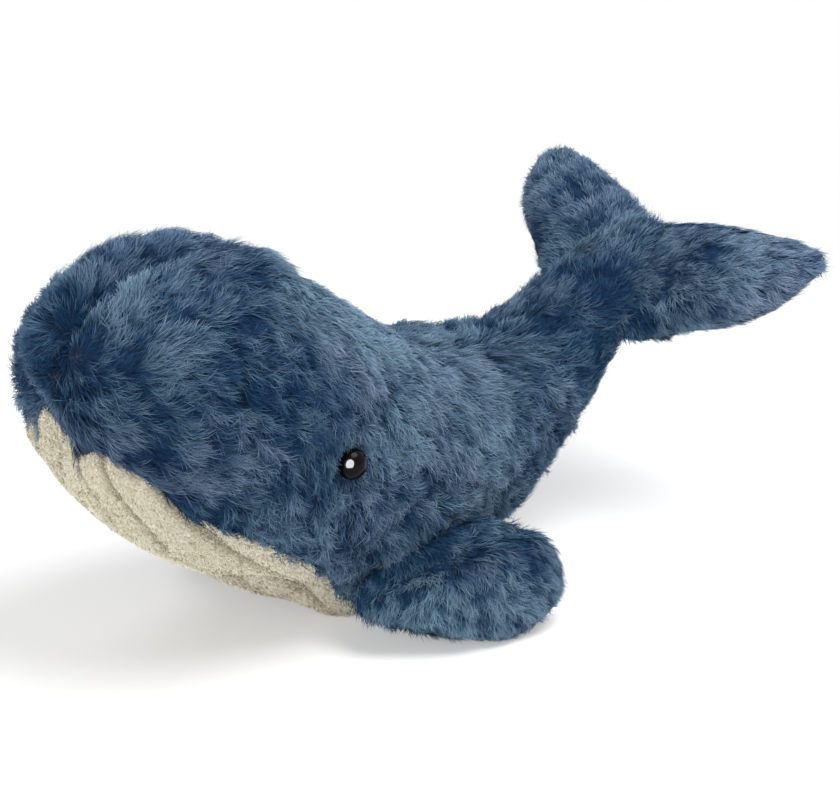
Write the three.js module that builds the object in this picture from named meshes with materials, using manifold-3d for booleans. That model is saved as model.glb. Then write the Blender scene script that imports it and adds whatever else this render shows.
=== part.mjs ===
// A plush whale that lies on its belly with its snout and its tail raised.
// Millimetres, +Z up, the nose towards -Y and the whale's left side towards +X.
// Sewn fur covers hold loose fibre, a bag of pellets weighs the belly down, and the tail,
// the flukes and the fins bend where the stuffing is thin.
import * as THREE from 'three';
import { mergeVertices } from 'three/addons/utils/BufferGeometryUtils.js';
import Module from 'manifold-3d';

// Driving sizes of the body
const bodyLength = 304; // from the nose to the end of the tail stock
const bodyHeight = 161; // from the surface it lies on to the crown of the head
const bodyWidth = 124; // across the cheeks
const spineGroove = 7; // how deep the centre seam draws the back in
const spineGrooveWidth = 13; // from the seam to where the back has risen again
const sectionFullnessShare = 0.9; // below 1 the sections are fuller than an ellipse

// Cloth and clearances
const coverThickness = 4; // fur cloth with its pile laid down
const limbCoverThickness = 3;
const seat = 0.3; // between two pieces that touch
const seamGap = 0.4; // between two cover panels along their seam
const bendGap = 0.7; // between the rounded faces that turn on each other
const weld = 0.001; // points closer than this are one point

// Tail bends: up and down at the tail's root, and from side to side at its stock
const bendAlongShare = 0.668; // of the body's length, from the nose
const bendHeightShare = 0.317; // of the body's height
const bendRadius = 48; // of the rounded face that the tail turns on
const bendAngle = 10; // degrees that the tail climbs there
const swingAlongShare = 0.855;
const swingHeightShare = 0.472;
const swingRadius = 30;
const swingAngle = 36;

// Flukes
const flukeSpan = 170; // from tip to tip
const flukeReach = 78; // from the front of the root to the back of the widest part
const flukeThickness = 28;
const flukeRootAlongShare = 0.859; // of the body's length, where the front of the root lies
const flukeRootHeightShare = 0.478; // of the body's height
const flukeClimb = 27; // degrees that the flukes climb towards the back
const flukeHingeOffset = 23; // from the centre seam to the line that a fluke bends on
const flukeHingeRadius = 11;
const flukeHingeStart = 4; // from the front of the root to where the bending line starts

// Fins
const finReach = 36; // from the seam to the tip
const finChord = 84; // along the body at the widest part
const finThickness = 34;
const finSeamAlongShare = 0.451; // of the body's length, where the middle of the seam lies
const finSeamOffsetShare = 0.79; // of half the body's width
const finSeamHeightShare = 0.186; // of the body's height
const finSeamLength = 58;
const finSeamRadius = 6;
const finDrop = 16.6; // from the seam down to the middle of the fin's thickness
const finSlant = 14; // degrees that the seam climbs towards the back
const finTwistShare = 0.6; // of the reach, where the fin has come level
const finToe = 8; // degrees that the seam widens towards the back

// Eyes
const eyeDiameter = 12;
const eyeDomeHeight = 4.6;
const eyeSink = 1.4; // how far the eye's back is drawn into the fur cloth
const eyeAlongShare = 0.432; // of the way through the body's sections
const eyeAngle = 1; // degrees round the section from the widest point
const eyeShankDiameter = 3.6;
const eyeShankLength = 15;
const washerDiameter = 14;
const washerThickness = 1.6;
const washerHubDiameter = 7;
const washerHubLength = 3.4;

// Pellet bag
const bagLength = 80;
const bagWidth = 66;
const bagThickness = 30;
const bagAlongShare = 0.41; // of the body's length, from the nose
const bagHeight = 17; // of its middle above the surface that the whale lies on

// Throat pleats
const pleatOffsetShares = [0.226, 0.452, 0.677]; // of half the body's width
const pleatEndShare = 0.378; // of the body's length, where the pleats run out under the belly
const pleatWidth = 1.6;
const pleatDepth = 1.8;

// Fineness of the faceted forms
const bodyRings = 18;
const bodyPointsRound = 20;
const limbRings = 7;
const limbPointsRound = 12;
const roundSegments = 20;
const bendSegments = 24;
const overrun = 60; // how far a cutting block runs past what it cuts

// Colours
const furBlue = { color: 0x4a6a8a, roughness: 0.95, metalness: 0 };
const creamPlush = { color: 0xded8c4, roughness: 0.9, metalness: 0 };
const blackPlastic = { color: 0x08080a, roughness: 0.08, metalness: 0 };
const whitePlastic = { color: 0xe8e8e4, roughness: 0.5, metalness: 0 };
const fibreWhite = { color: 0xf2f1ec, roughness: 1, metalness: 0 };
const bagCloth = { color: 0xd9d4c6, roughness: 0.9, metalness: 0 };

// The body's sections from the nose to the end of the tail stock, as shares of its length,
// its height, half its width and the groove: where the back and the keel lie, and how wide it is.
const bodyShares = [
  // back along, back height, keel along, keel height, half width, groove
  [0, 0.708, 0, 0.708, 0, 0],
  [0.008, 0.776, 0.01, 0.627, 0.258, 0.071],
  [0.028, 0.854, 0.03, 0.54, 0.484, 0.286],
  [0.071, 0.929, 0.064, 0.444, 0.71, 0.429],
  [0.141, 0.984, 0.115, 0.342, 0.887, 0.429],
  [0.237, 1, 0.197, 0.217, 0.984, 0.429],
  [0.345, 0.925, 0.299, 0.078, 1, 0.429],
  [0.461, 0.758, 0.421, -0.003, 0.952, 0.714],
  [0.572, 0.627, 0.553, -0.003, 0.839, 1],
  [0.678, 0.568, 0.668, 0.05, 0.694, 1],
  [0.766, 0.559, 0.776, 0.168, 0.54, 0.714],
  [0.845, 0.627, 0.865, 0.311, 0.403, 0.286],
  [0.908, 0.702, 0.934, 0.46, 0.331, 0.143],
  [0.961, 0.739, 0.98, 0.578, 0.234, 0],
  [1, 0.683, 1, 0.683, 0, 0],
];

// The upper edge of the cream throat and belly, from before the nose to under the tail's root,
// as shares of the body's length and height.
const throatEdgeShares = [
  [-0.072, 0.739], [0.003, 0.702], [0.016, 0.658], [0.035, 0.609], [0.072, 0.543], [0.115, 0.475],
  [0.158, 0.416], [0.207, 0.351], [0.276, 0.264], [0.368, 0.177], [0.467, 0.099], [0.566, 0.062],
  [0.658, 0.056],
];

// A fluke from the middle to its tip, as shares of half the span, the reach and the thickness:
// how far out, where its front and back edges lie, and how thick it is.
const flukeShares = [
  [0, 0.02, 0.72, 0.85],
  [0.12, 0.03, 0.77, 0.75],
  [0.25, 0.08, 0.85, 0.72],
  [0.42, 0.19, 0.94, 0.95],
  [0.62, 0.34, 1, 1],
  [0.8, 0.51, 1.03, 0.86],
  [0.93, 0.69, 1.01, 0.58],
  [1, 0.86, 0.86, 0],
];

// A fin from its seam to its tip, as shares of its reach, chord and thickness:
// how far out, where its front and back edges lie from the seam's front end, how thick it is,
// and how much of its drop it has made.
const finShares = [
  [0, 0, 0.69, 0.26, 0],
  [0.1, -0.02, 0.74, 0.28, 0.12],
  [0.22, -0.03, 0.85, 0.46, 0.45],
  [0.38, 0, 0.94, 0.86, 0.66],
  [0.57, 0.07, 0.97, 1.04, 0.8],
  [0.77, 0.18, 0.93, 0.92, 0.95],
  [0.93, 0.34, 0.82, 0.62, 1.05],
  [1, 0.57, 0.57, 0, 1.1],
];

const wasm = await Module();
wasm.setup();

const radians = THREE.MathUtils.degToRad;
const signedPower = (value, power) => Math.sign(value) * Math.abs(value) ** power;

// A closed mesh as a solid that can be joined and cut.
function solidOf(geometry, matrix = new THREE.Matrix4()) {
  const bare = new THREE.BufferGeometry();
  bare.setAttribute('position', geometry.getAttribute('position').clone());
  bare.setIndex(geometry.index);
  bare.applyMatrix4(matrix);
  const merged = mergeVertices(bare, weld);
  return new wasm.Manifold(new wasm.Mesh({
    numProp: merged.attributes.position.itemSize,
    vertProperties: merged.attributes.position.array,
    triVerts: new Uint32Array(merged.index.array),
  }));
}

function geometryOf(solid) {
  const { vertProperties, triVerts } = solid.getMesh();
  const geometry = new THREE.BufferGeometry();
  geometry.setAttribute('position', new THREE.BufferAttribute(new Float32Array(vertProperties), 3));
  geometry.setIndex(new THREE.BufferAttribute(new Uint32Array(triVerts), 1));
  geometry.computeVertexNormals();
  return geometry;
}

// A skin through rings of points, closed by a point at each end. Where turned says so, the two
// faces between four points lie the other way, so that a form's two halves mirror each other.
function loft(rings, start, end, turned = () => false) {
  const round = rings[0].length;
  const points = [start, ...rings.flat(), end];
  const last = points.length - 1;
  const faces = [];
  for (let k = 0; k < round; k++) {
    const next = (k + 1) % round;
    faces.push(0, 1 + k, 1 + next);
    faces.push(last, last - round + next, last - round + k);
    for (let ring = 0; ring < rings.length - 1; ring++) {
      const here = 1 + ring * round;
      const there = here + round;
      if (turned(ring, k)) {
        faces.push(here + k, there + k, here + next, there + k, there + next, here + next);
      } else {
        faces.push(here + k, there + next, here + next, here + k, there + k, there + next);
      }
    }
  }
  const geometry = new THREE.BufferGeometry().setFromPoints(points);
  geometry.setIndex(faces);
  return geometry;
}

// The same skin moved inwards, or outwards where the depth is negative.
function inset(geometry, depth) {
  const moved = geometry.clone();
  moved.computeVertexNormals();
  const { position, normal } = moved.attributes;
  for (let k = 0; k < position.count; k++) {
    position.setXYZ(
      k,
      position.getX(k) - normal.getX(k) * depth,
      position.getY(k) - normal.getY(k) * depth,
      position.getZ(k) - normal.getZ(k) * depth,
    );
  }
  return moved;
}

// A curve whose points are columns of a table of shares, each times its size.
function curveOf(shares, columns, sizes) {
  return new THREE.CatmullRomCurve3(
    shares.map((row) => new THREE.Vector3(...columns.map((column, k) => row[column] * sizes[k]))),
  );
}

// The body: one loft whose sections stand between the back and the keel
const backLine = curveOf(bodyShares, [0, 1, 5], [bodyLength, bodyHeight, spineGroove]);
const keelLine = curveOf(bodyShares, [2, 3, 4], [bodyLength, bodyHeight, bodyWidth / 2]);

function bodyPoint(share, angle) {
  const back = backLine.getPoint(share);
  const keel = keelLine.getPoint(share);
  const across = keel.z * signedPower(Math.cos(angle), sectionFullnessShare);
  const lift = signedPower(Math.sin(angle), sectionFullnessShare);
  const rise = new THREE.Vector2(back.x - keel.x, back.y - keel.y);
  const pull = back.z * Math.exp(-((across / spineGrooveWidth) ** 2)) * Math.max(lift, 0) ** 4;
  const half = rise.length() / 2;
  rise.normalize().multiplyScalar(half * lift - pull);
  return new THREE.Vector3(across, (back.x + keel.x) / 2 + rise.x, (back.y + keel.y) / 2 + rise.y);
}

function bodyLoft() {
  const rings = [];
  for (let ring = 1; ring < bodyRings; ring++) {
    const share = (1 - Math.cos((Math.PI * ring) / bodyRings)) / 2;
    const even = (share + ring / bodyRings) / 2;
    rings.push(Array.from({ length: bodyPointsRound }, (_, k) =>
      bodyPoint(even, ((k - bodyPointsRound / 4) / bodyPointsRound) * 2 * Math.PI)));
  }
  return loft(rings, bodyPoint(0, 0), bodyPoint(1, 0), (_, k) => k >= bodyPointsRound / 2);
}

// The flukes: one loft from tip to tip, flat in a plane that climbs towards the back
const flukeLine = curveOf(flukeShares, [0, 1, 2], [flukeSpan / 2, flukeReach, flukeReach]);
const flukeGirth = curveOf(flukeShares, [3, 3, 3], [flukeThickness / 2, 0, 0]);

function flukePoint(side, angle) {
  const edge = flukeLine.getPoint(Math.abs(side));
  const thick = flukeGirth.getPoint(Math.abs(side)).x;
  const middle = (edge.y + edge.z) / 2;
  const along = middle + ((edge.z - edge.y) / 2) * signedPower(Math.cos(angle), sectionFullnessShare);
  return new THREE.Vector3(Math.sign(side) * edge.x, along, thick * Math.sin(angle));
}

function flukeLoft() {
  const rings = [];
  for (let ring = 1 - limbRings; ring < limbRings; ring++) {
    rings.push(Array.from({ length: limbPointsRound }, (_, k) =>
      flukePoint(ring / limbRings, (-2 * Math.PI * k) / limbPointsRound)));
  }
  return loft(rings, flukePoint(-1, 0), flukePoint(1, 0), (ring) => ring < limbRings - 1);
}

const flukePlace = new THREE.Matrix4()
  .makeTranslation(0, flukeRootAlongShare * bodyLength, flukeRootHeightShare * bodyHeight)
  .multiply(new THREE.Matrix4().makeRotationX(radians(flukeClimb)));

// A fin: a loft from its seam to its tip, laid on the surface the whale lies on
const finLine = curveOf(finShares, [0, 1, 2], [finReach, finChord, finChord]);
const finGirth = curveOf(finShares, [3, 4, 4], [finThickness / 2, finDrop, 0]);

function finPoint(share, angle) {
  const edge = finLine.getPoint(share);
  const girth = finGirth.getPoint(share);
  const middle = (edge.y + edge.z) / 2;
  const along = middle + ((edge.z - edge.y) / 2) * signedPower(Math.cos(angle), sectionFullnessShare);
  const levelling = Math.tan(radians(finSlant)) * Math.min(share / finTwistShare, 1);
  return new THREE.Vector3(
    edge.x,
    along - finSeamLength / 2,
    girth.x * Math.sin(angle) - girth.y - (along - finSeamLength / 2) * levelling,
  );
}

function finLoft() {
  const rings = [];
  for (let ring = 0; ring < limbRings; ring++) {
    rings.push(Array.from({ length: limbPointsRound }, (_, k) =>
      finPoint(ring / limbRings, (-2 * Math.PI * k) / limbPointsRound)));
  }
  return loft(rings, new THREE.Vector3(), finPoint(1, 0));
}

const finPlace = new THREE.Matrix4()
  .makeTranslation(
    (finSeamOffsetShare * bodyWidth) / 2, finSeamAlongShare * bodyLength, finSeamHeightShare * bodyHeight,
  )
  .multiply(new THREE.Matrix4().makeRotationZ(radians(-finToe)))
  .multiply(new THREE.Matrix4().makeRotationX(radians(finSlant)));

// Blocks, balls and rods that cut the forms
function block(low, high, matrix) {
  const size = new THREE.Vector3().subVectors(high, low);
  const box = new THREE.BoxGeometry(size.x, size.y, size.z);
  box.translate((low.x + high.x) / 2, (low.y + high.y) / 2, (low.z + high.z) / 2);
  return solidOf(box, matrix);
}

const reach = bodyLength + overrun;
const leftHalf = block(
  new THREE.Vector3(seamGap / 2, -reach, -reach),
  new THREE.Vector3(reach, reach + reach, reach),
);
const underTheSurface = block(
  new THREE.Vector3(-reach, -reach, -reach),
  new THREE.Vector3(reach, reach + reach, 0),
);

// All that lies behind a bend, with the rounded face that it turns on.
function behindBend(alongShare, heightShare, radius, angle, grow) {
  const place = new THREE.Matrix4()
    .makeTranslation(0, alongShare * bodyLength, heightShare * bodyHeight)
    .multiply(new THREE.Matrix4().makeRotationX(radians(angle)));
  const ball = solidOf(new THREE.SphereGeometry(radius + grow, bendSegments, bendSegments / 2), place);
  const rest = block(
    new THREE.Vector3(-reach, -grow, -reach),
    new THREE.Vector3(reach, reach, reach),
    place,
  );
  return ball.add(rest);
}

function rod(radius, low, high, matrix) {
  const cylinder = new THREE.CylinderGeometry(radius, radius, high - low, roundSegments);
  cylinder.translate(0, (low + high) / 2, 0);
  return solidOf(cylinder, matrix);
}

// The cream cloth lies below its upper edge, seen from the side.
function throatRegion(grow) {
  const points = throatEdgeShares.map(([along, height]) =>
    new THREE.Vector2(along * bodyLength, height * bodyHeight + grow));
  const edge = new THREE.SplineCurve(points).getPoints(points.length * 2);
  const shape = new THREE.Shape([
    ...edge,
    new THREE.Vector2(points.at(-1).x + grow, -overrun),
    new THREE.Vector2(points[0].x, -overrun),
  ]);
  const slab = new THREE.ExtrudeGeometry(shape, { depth: bodyWidth + overrun, bevelEnabled: false });
  slab.translate(0, 0, -(bodyWidth + overrun) / 2);
  // the drawing's x runs along the body, its y up, and the extrusion across
  const turn = new THREE.Matrix4().makeBasis(
    new THREE.Vector3(0, 1, 0), new THREE.Vector3(0, 0, 1), new THREE.Vector3(1, 0, 0),
  );
  return solidOf(slab, turn);
}

// Forms of the body and what cuts them
const bodyForm = bodyLoft();
const bodyOuter = solidOf(bodyForm).subtract(underTheSurface);
const bodyHollow = solidOf(inset(bodyForm, coverThickness));
const bodyCore = solidOf(inset(bodyForm, coverThickness + seat));
const tailRegion = behindBend(bendAlongShare, bendHeightShare, bendRadius, bendAngle, 0);
const tailRoom = behindBend(bendAlongShare, bendHeightShare, bendRadius, bendAngle, bendGap);
const stockRegion = behindBend(swingAlongShare, swingHeightShare, swingRadius, swingAngle, 0);
const stockRoom = behindBend(swingAlongShare, swingHeightShare, swingRadius, swingAngle, bendGap);

const flukeForm = flukeLoft();
const flukeOuter = solidOf(flukeForm, flukePlace);
const flukeHollow = solidOf(inset(flukeForm, limbCoverThickness), flukePlace);
const flukeCore = solidOf(inset(flukeForm, limbCoverThickness + seat), flukePlace);

// A fluke is what lies beyond its bending line, with the rounded root that it turns on.
function flukeRegion(grow) {
  const round = rod(
    flukeHingeRadius + grow, flukeHingeStart - grow, flukeReach,
    flukePlace.clone().multiply(new THREE.Matrix4().makeTranslation(flukeHingeOffset, 0, 0)),
  );
  const beyond = block(
    new THREE.Vector3(flukeHingeOffset - grow, flukeHingeStart - grow, -reach),
    new THREE.Vector3(reach, reach, reach),
    flukePlace,
  );
  return round.add(beyond);
}

function mirrored(solid) {
  const geometry = geometryOf(solid);
  geometry.applyMatrix4(new THREE.Matrix4().makeScale(-1, 1, 1));
  const order = geometry.index.array;
  for (let k = 0; k < order.length; k += 3) [order[k], order[k + 1]] = [order[k + 1], order[k]];
  return solidOf(geometry);
}

// A fin is what lies beyond its seam, with the rolled seam that it turns on.
function finRegion(grow) {
  const half = finSeamLength / 2 + grow;
  return rod(finSeamRadius + grow, -half, half, finPlace);
}

// The stuffing of a fin starts beyond its rolled seam.
function beyondSeam(grow) {
  return block(
    new THREE.Vector3(finSeamRadius + grow, -reach, -reach),
    new THREE.Vector3(reach, reach, reach),
    finPlace,
  );
}

// The eye stands on the cheek, square to it.
const eyeSpot = bodyPoint(eyeAlongShare, radians(eyeAngle));
const small = 1 / 1000;
const eyeNormal = new THREE.Vector3().crossVectors(
  bodyPoint(eyeAlongShare + small, radians(eyeAngle)).sub(eyeSpot),
  bodyPoint(eyeAlongShare, radians(eyeAngle) + small).sub(eyeSpot),
).normalize();
if (eyeNormal.x < 0) eyeNormal.negate();
const eyeTurn = new THREE.Quaternion().setFromUnitVectors(new THREE.Vector3(0, 0, 1), eyeNormal);
const eyePlace = new THREE.Matrix4().compose(eyeSpot, eyeTurn, new THREE.Vector3(1, 1, 1));
const washerDepth = coverThickness + seat + seat;

// A turned piece whose profile is a list of radii and heights along the eye's own axis.
function revolved(profile) {
  const points = profile.map(([radius, height]) => new THREE.Vector2(radius, height));
  return new THREE.LatheGeometry(points, roundSegments).rotateX(Math.PI / 2);
}

function eyeGeometry() {
  const radius = eyeDiameter / 2;
  const domeSteps = 4;
  const dome = Array.from({ length: domeSteps + 1 }, (_, k) => {
    const turn = (k / domeSteps) * (Math.PI / 2);
    return [radius * Math.cos(turn), (eyeDomeHeight - eyeSink) * Math.sin(turn)];
  });
  dome[domeSteps][0] = 0;
  return revolved([
    [0, -eyeShankLength],
    [eyeShankDiameter / 4, -eyeShankLength],
    [eyeShankDiameter / 2, -eyeShankLength + eyeShankDiameter],
    [eyeShankDiameter / 2, -eyeSink],
    [radius, -eyeSink],
    ...dome,
  ]);
}

function washerGeometry() {
  const bore = eyeShankDiameter / 2 + seat;
  const top = -washerDepth;
  return revolved([
    [bore, top],
    [bore, top - washerThickness - washerHubLength],
    [washerHubDiameter / 2, top - washerThickness - washerHubLength],
    [washerHubDiameter / 2, top - washerThickness],
    [washerDiameter / 2, top - washerThickness],
    [washerDiameter / 2, top],
    [bore, top],
  ]);
}

// The room that the eye, its shank and its washer take in the cover and the stuffing.
function eyeRoom() {
  const wide = eyeDiameter / 2 + seat;
  const narrow = eyeShankDiameter / 2 + seat;
  const low = -washerDepth - washerThickness - washerHubLength - seat;
  return solidOf(revolved([
    [0, -eyeShankLength - seat],
    [narrow, -eyeShankLength - seat],
    [narrow, low],
    [washerHubDiameter / 2 + seat, low],
    [washerHubDiameter / 2 + seat, -washerDepth - washerThickness - seat],
    [washerDiameter / 2 + seat, -washerDepth - washerThickness - seat],
    [washerDiameter / 2 + seat, -washerDepth + seat],
    [narrow, -washerDepth + seat],
    [narrow, -eyeSink - seat],
    [wide, -eyeSink - seat],
    [wide, eyeDiameter],
    [0, eyeDiameter],
  ]), eyePlace);
}

function bagForm(grow) {
  const pillow = new THREE.SphereGeometry(1, roundSegments, roundSegments / 2);
  return solidOf(pillow, new THREE.Matrix4()
    .makeTranslation(0, bagAlongShare * bodyLength, bagHeight)
    .multiply(new THREE.Matrix4().makeScale(
      bagWidth / 2 + grow, bagLength / 2 + grow, bagThickness / 2 + grow,
    )));
}

const whale = new THREE.Group();

function addPiece(name, geometry, look, place = new THREE.Matrix4()) {
  const mesh = new THREE.Mesh(geometry, new THREE.MeshStandardMaterial(look));
  mesh.name = name;
  mesh.applyMatrix4(place);
  whale.add(mesh);
}

// A piece and its mirror image on the whale's right side.
function addPair(name, geometry, look, place = new THREE.Matrix4()) {
  addPiece(`left_${name}`, geometry, look, place);
  const turn = new THREE.Matrix4().makeScale(-1, 1, 1).multiply(place);
  addPiece(`right_${name}`, geometry, look, turn);
}

// Head and body covers, with the groove for the fin's seam and the eye's hole
const finGroove = finRegion(seat);
const bothFinGrooves = finGroove.add(mirrored(finGroove));
const eyeHole = eyeRoom();
const bodyShell = bodyOuter.subtract(bodyHollow).subtract(tailRoom);

const sideCover = bodyShell
  .intersect(leftHalf)
  .subtract(throatRegion(seamGap))
  .subtract(finGroove)
  .subtract(eyeHole);
addPair('side_cover', geometryOf(sideCover), furBlue);

// The cream panel, with its sewn pleats running back from the mouth
const pleatFloor = solidOf(inset(bodyForm, pleatDepth));
let throatPanel = bodyShell.intersect(throatRegion(0)).subtract(bothFinGrooves);
for (const share of pleatOffsetShares) {
  for (const side of [-1, 1]) {
    const offset = (side * share * bodyWidth) / 2;
    const slit = block(
      new THREE.Vector3(offset - pleatWidth / 2, -overrun, seat),
      new THREE.Vector3(offset + pleatWidth / 2, pleatEndShare * bodyLength, bodyHeight),
    );
    throatPanel = throatPanel.subtract(slit.subtract(pleatFloor));
  }
}
addPiece('throat_panel', geometryOf(throatPanel), creamPlush);

// The stuffing, and the pellet bag in the belly
const bag = bagForm(0).intersect(bodyCore).subtract(tailRoom);
addPiece('pellet_bag', geometryOf(bag), bagCloth);
const bodyStuffing = bodyCore
  .subtract(tailRoom)
  .subtract(bagForm(seat))
  .subtract(bothFinGrooves)
  .subtract(eyeHole)
  .subtract(mirrored(eyeHole));
addPiece('body_stuffing', geometryOf(bodyStuffing), fibreWhite);

// Eyes and the washers that lock them inside the cover
addPair('eye', eyeGeometry(), blackPlastic, eyePlace);
addPair('eye_washer', washerGeometry(), whitePlastic, eyePlace);

// Root of the tail
const tailCover = bodyOuter.subtract(bodyHollow).intersect(tailRegion).subtract(stockRoom);
addPair('tail_cover', geometryOf(tailCover.intersect(leftHalf)), furBlue);
addPiece('tail_stuffing', geometryOf(bodyCore.intersect(tailRegion).subtract(stockRoom)), fibreWhite);

// Tail stock with the middle of the flukes
const flukeRoom = flukeRegion(seat);
const bothFlukeRooms = flukeRoom.add(mirrored(flukeRoom));
const stockOuter = bodyOuter.intersect(stockRegion).add(flukeOuter);
const stockHollow = bodyHollow.add(flukeHollow);
const stockCore = bodyCore.intersect(stockRegion).add(flukeCore);
const stockCover = stockOuter.subtract(stockHollow).subtract(bothFlukeRooms);
addPair('stock_cover', geometryOf(stockCover.intersect(leftHalf)), furBlue);
addPiece('stock_stuffing', geometryOf(stockCore.subtract(bothFlukeRooms)), fibreWhite);

// Flukes: an upper and a lower cover sewn round the edge, over thin stuffing
const flukeShape = flukeRegion(0);
const flukeCover = flukeOuter.subtract(flukeHollow).intersect(flukeShape);
const aboveFluke = block(
  new THREE.Vector3(-reach, -reach, seamGap / 2), new THREE.Vector3(reach, reach, reach), flukePlace,
);
const belowFluke = block(
  new THREE.Vector3(-reach, -reach, -reach), new THREE.Vector3(reach, reach, -seamGap / 2), flukePlace,
);
addPair('fluke_upper_cover', geometryOf(flukeCover.intersect(aboveFluke)), furBlue);
addPair('fluke_lower_cover', geometryOf(flukeCover.intersect(belowFluke)), furBlue);
addPair('fluke_stuffing', geometryOf(flukeCore.intersect(flukeShape)), fibreWhite);

// Fins: an upper and a lower cover round thick stuffing, sewn to the body's side
const finForm = finLoft();
const bodyRoom = solidOf(inset(bodyForm, -seat));
const finSeam = finRegion(0);
const fitFin = (form, bead) => form.subtract(bodyRoom).add(bead).subtract(underTheSurface);
const finOuter = fitFin(solidOf(finForm, finPlace), finSeam);
const finHollow = solidOf(inset(finForm, limbCoverThickness), finPlace)
  .intersect(beyondSeam(limbCoverThickness));
const finCore = solidOf(inset(finForm, limbCoverThickness + seat), finPlace)
  .intersect(beyondSeam(limbCoverThickness + seat))
  .subtract(bodyRoom);
const finShell = finOuter.subtract(finHollow);

// The seam between the two covers runs round the fin's edge, at the middle of its thickness.
function finSide(side) {
  const rows = [];
  for (let ring = 0; ring <= limbRings; ring++) {
    const drop = finGirth.getPoint(ring / limbRings).y;
    rows.push(new THREE.Vector2(
      finLine.getPoint(ring / limbRings).x,
      (side * seamGap) / 2 - drop,
    ));
  }
  const first = rows[0];
  const last = rows.at(-1);
  const shape = new THREE.Shape([
    new THREE.Vector2(first.x - overrun, first.y),
    ...rows,
    new THREE.Vector2(last.x + overrun, last.y),
    new THREE.Vector2(last.x + overrun, side * reach),
    new THREE.Vector2(first.x - overrun, side * reach),
  ]);
  const slab = new THREE.ExtrudeGeometry(shape, { depth: reach, bevelEnabled: false });
  // the drawing's x runs across the body, its y up, and the extrusion backwards from the front
  const turn = new THREE.Matrix4().makeBasis(
    new THREE.Vector3(1, 0, 0), new THREE.Vector3(0, 0, 1), new THREE.Vector3(0, -1, 0),
  ).setPosition(0, reach / 2, 0);
  return solidOf(slab, finPlace.clone().multiply(turn));
}

addPair('fin_upper_cover', geometryOf(finShell.intersect(finSide(1))), furBlue);
addPair('fin_lower_cover', geometryOf(finShell.intersect(finSide(-1))), furBlue);
addPair('fin_stuffing', geometryOf(finCore), fibreWhite);

// The origin is under the middle of the whole whale, on the surface that it lies on.
const middle = new THREE.Box3().setFromObject(whale).getCenter(new THREE.Vector3());
for (const piece of whale.children) piece.position.y -= middle.y;

export default whale;
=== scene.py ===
import math

import bpy
import numpy as np
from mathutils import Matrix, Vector


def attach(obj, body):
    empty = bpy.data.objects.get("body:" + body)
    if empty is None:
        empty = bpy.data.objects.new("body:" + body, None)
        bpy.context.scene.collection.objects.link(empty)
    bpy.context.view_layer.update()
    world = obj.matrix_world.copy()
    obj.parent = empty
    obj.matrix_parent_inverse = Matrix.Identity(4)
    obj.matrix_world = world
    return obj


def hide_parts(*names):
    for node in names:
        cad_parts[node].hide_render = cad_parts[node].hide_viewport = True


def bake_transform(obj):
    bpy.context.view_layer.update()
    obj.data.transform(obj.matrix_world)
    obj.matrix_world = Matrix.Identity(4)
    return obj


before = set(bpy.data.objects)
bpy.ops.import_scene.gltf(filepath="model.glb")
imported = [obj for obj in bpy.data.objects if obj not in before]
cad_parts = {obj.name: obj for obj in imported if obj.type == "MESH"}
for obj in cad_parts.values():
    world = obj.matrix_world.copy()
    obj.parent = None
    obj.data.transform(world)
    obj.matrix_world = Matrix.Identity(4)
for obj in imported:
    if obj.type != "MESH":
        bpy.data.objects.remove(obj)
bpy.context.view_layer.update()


# The table and the light
# A plain white table top under a large soft lamp overhead, with a white wall all round. The whale
# stands well clear of the wall, so that only its own soft shadow shows on the table.

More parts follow.
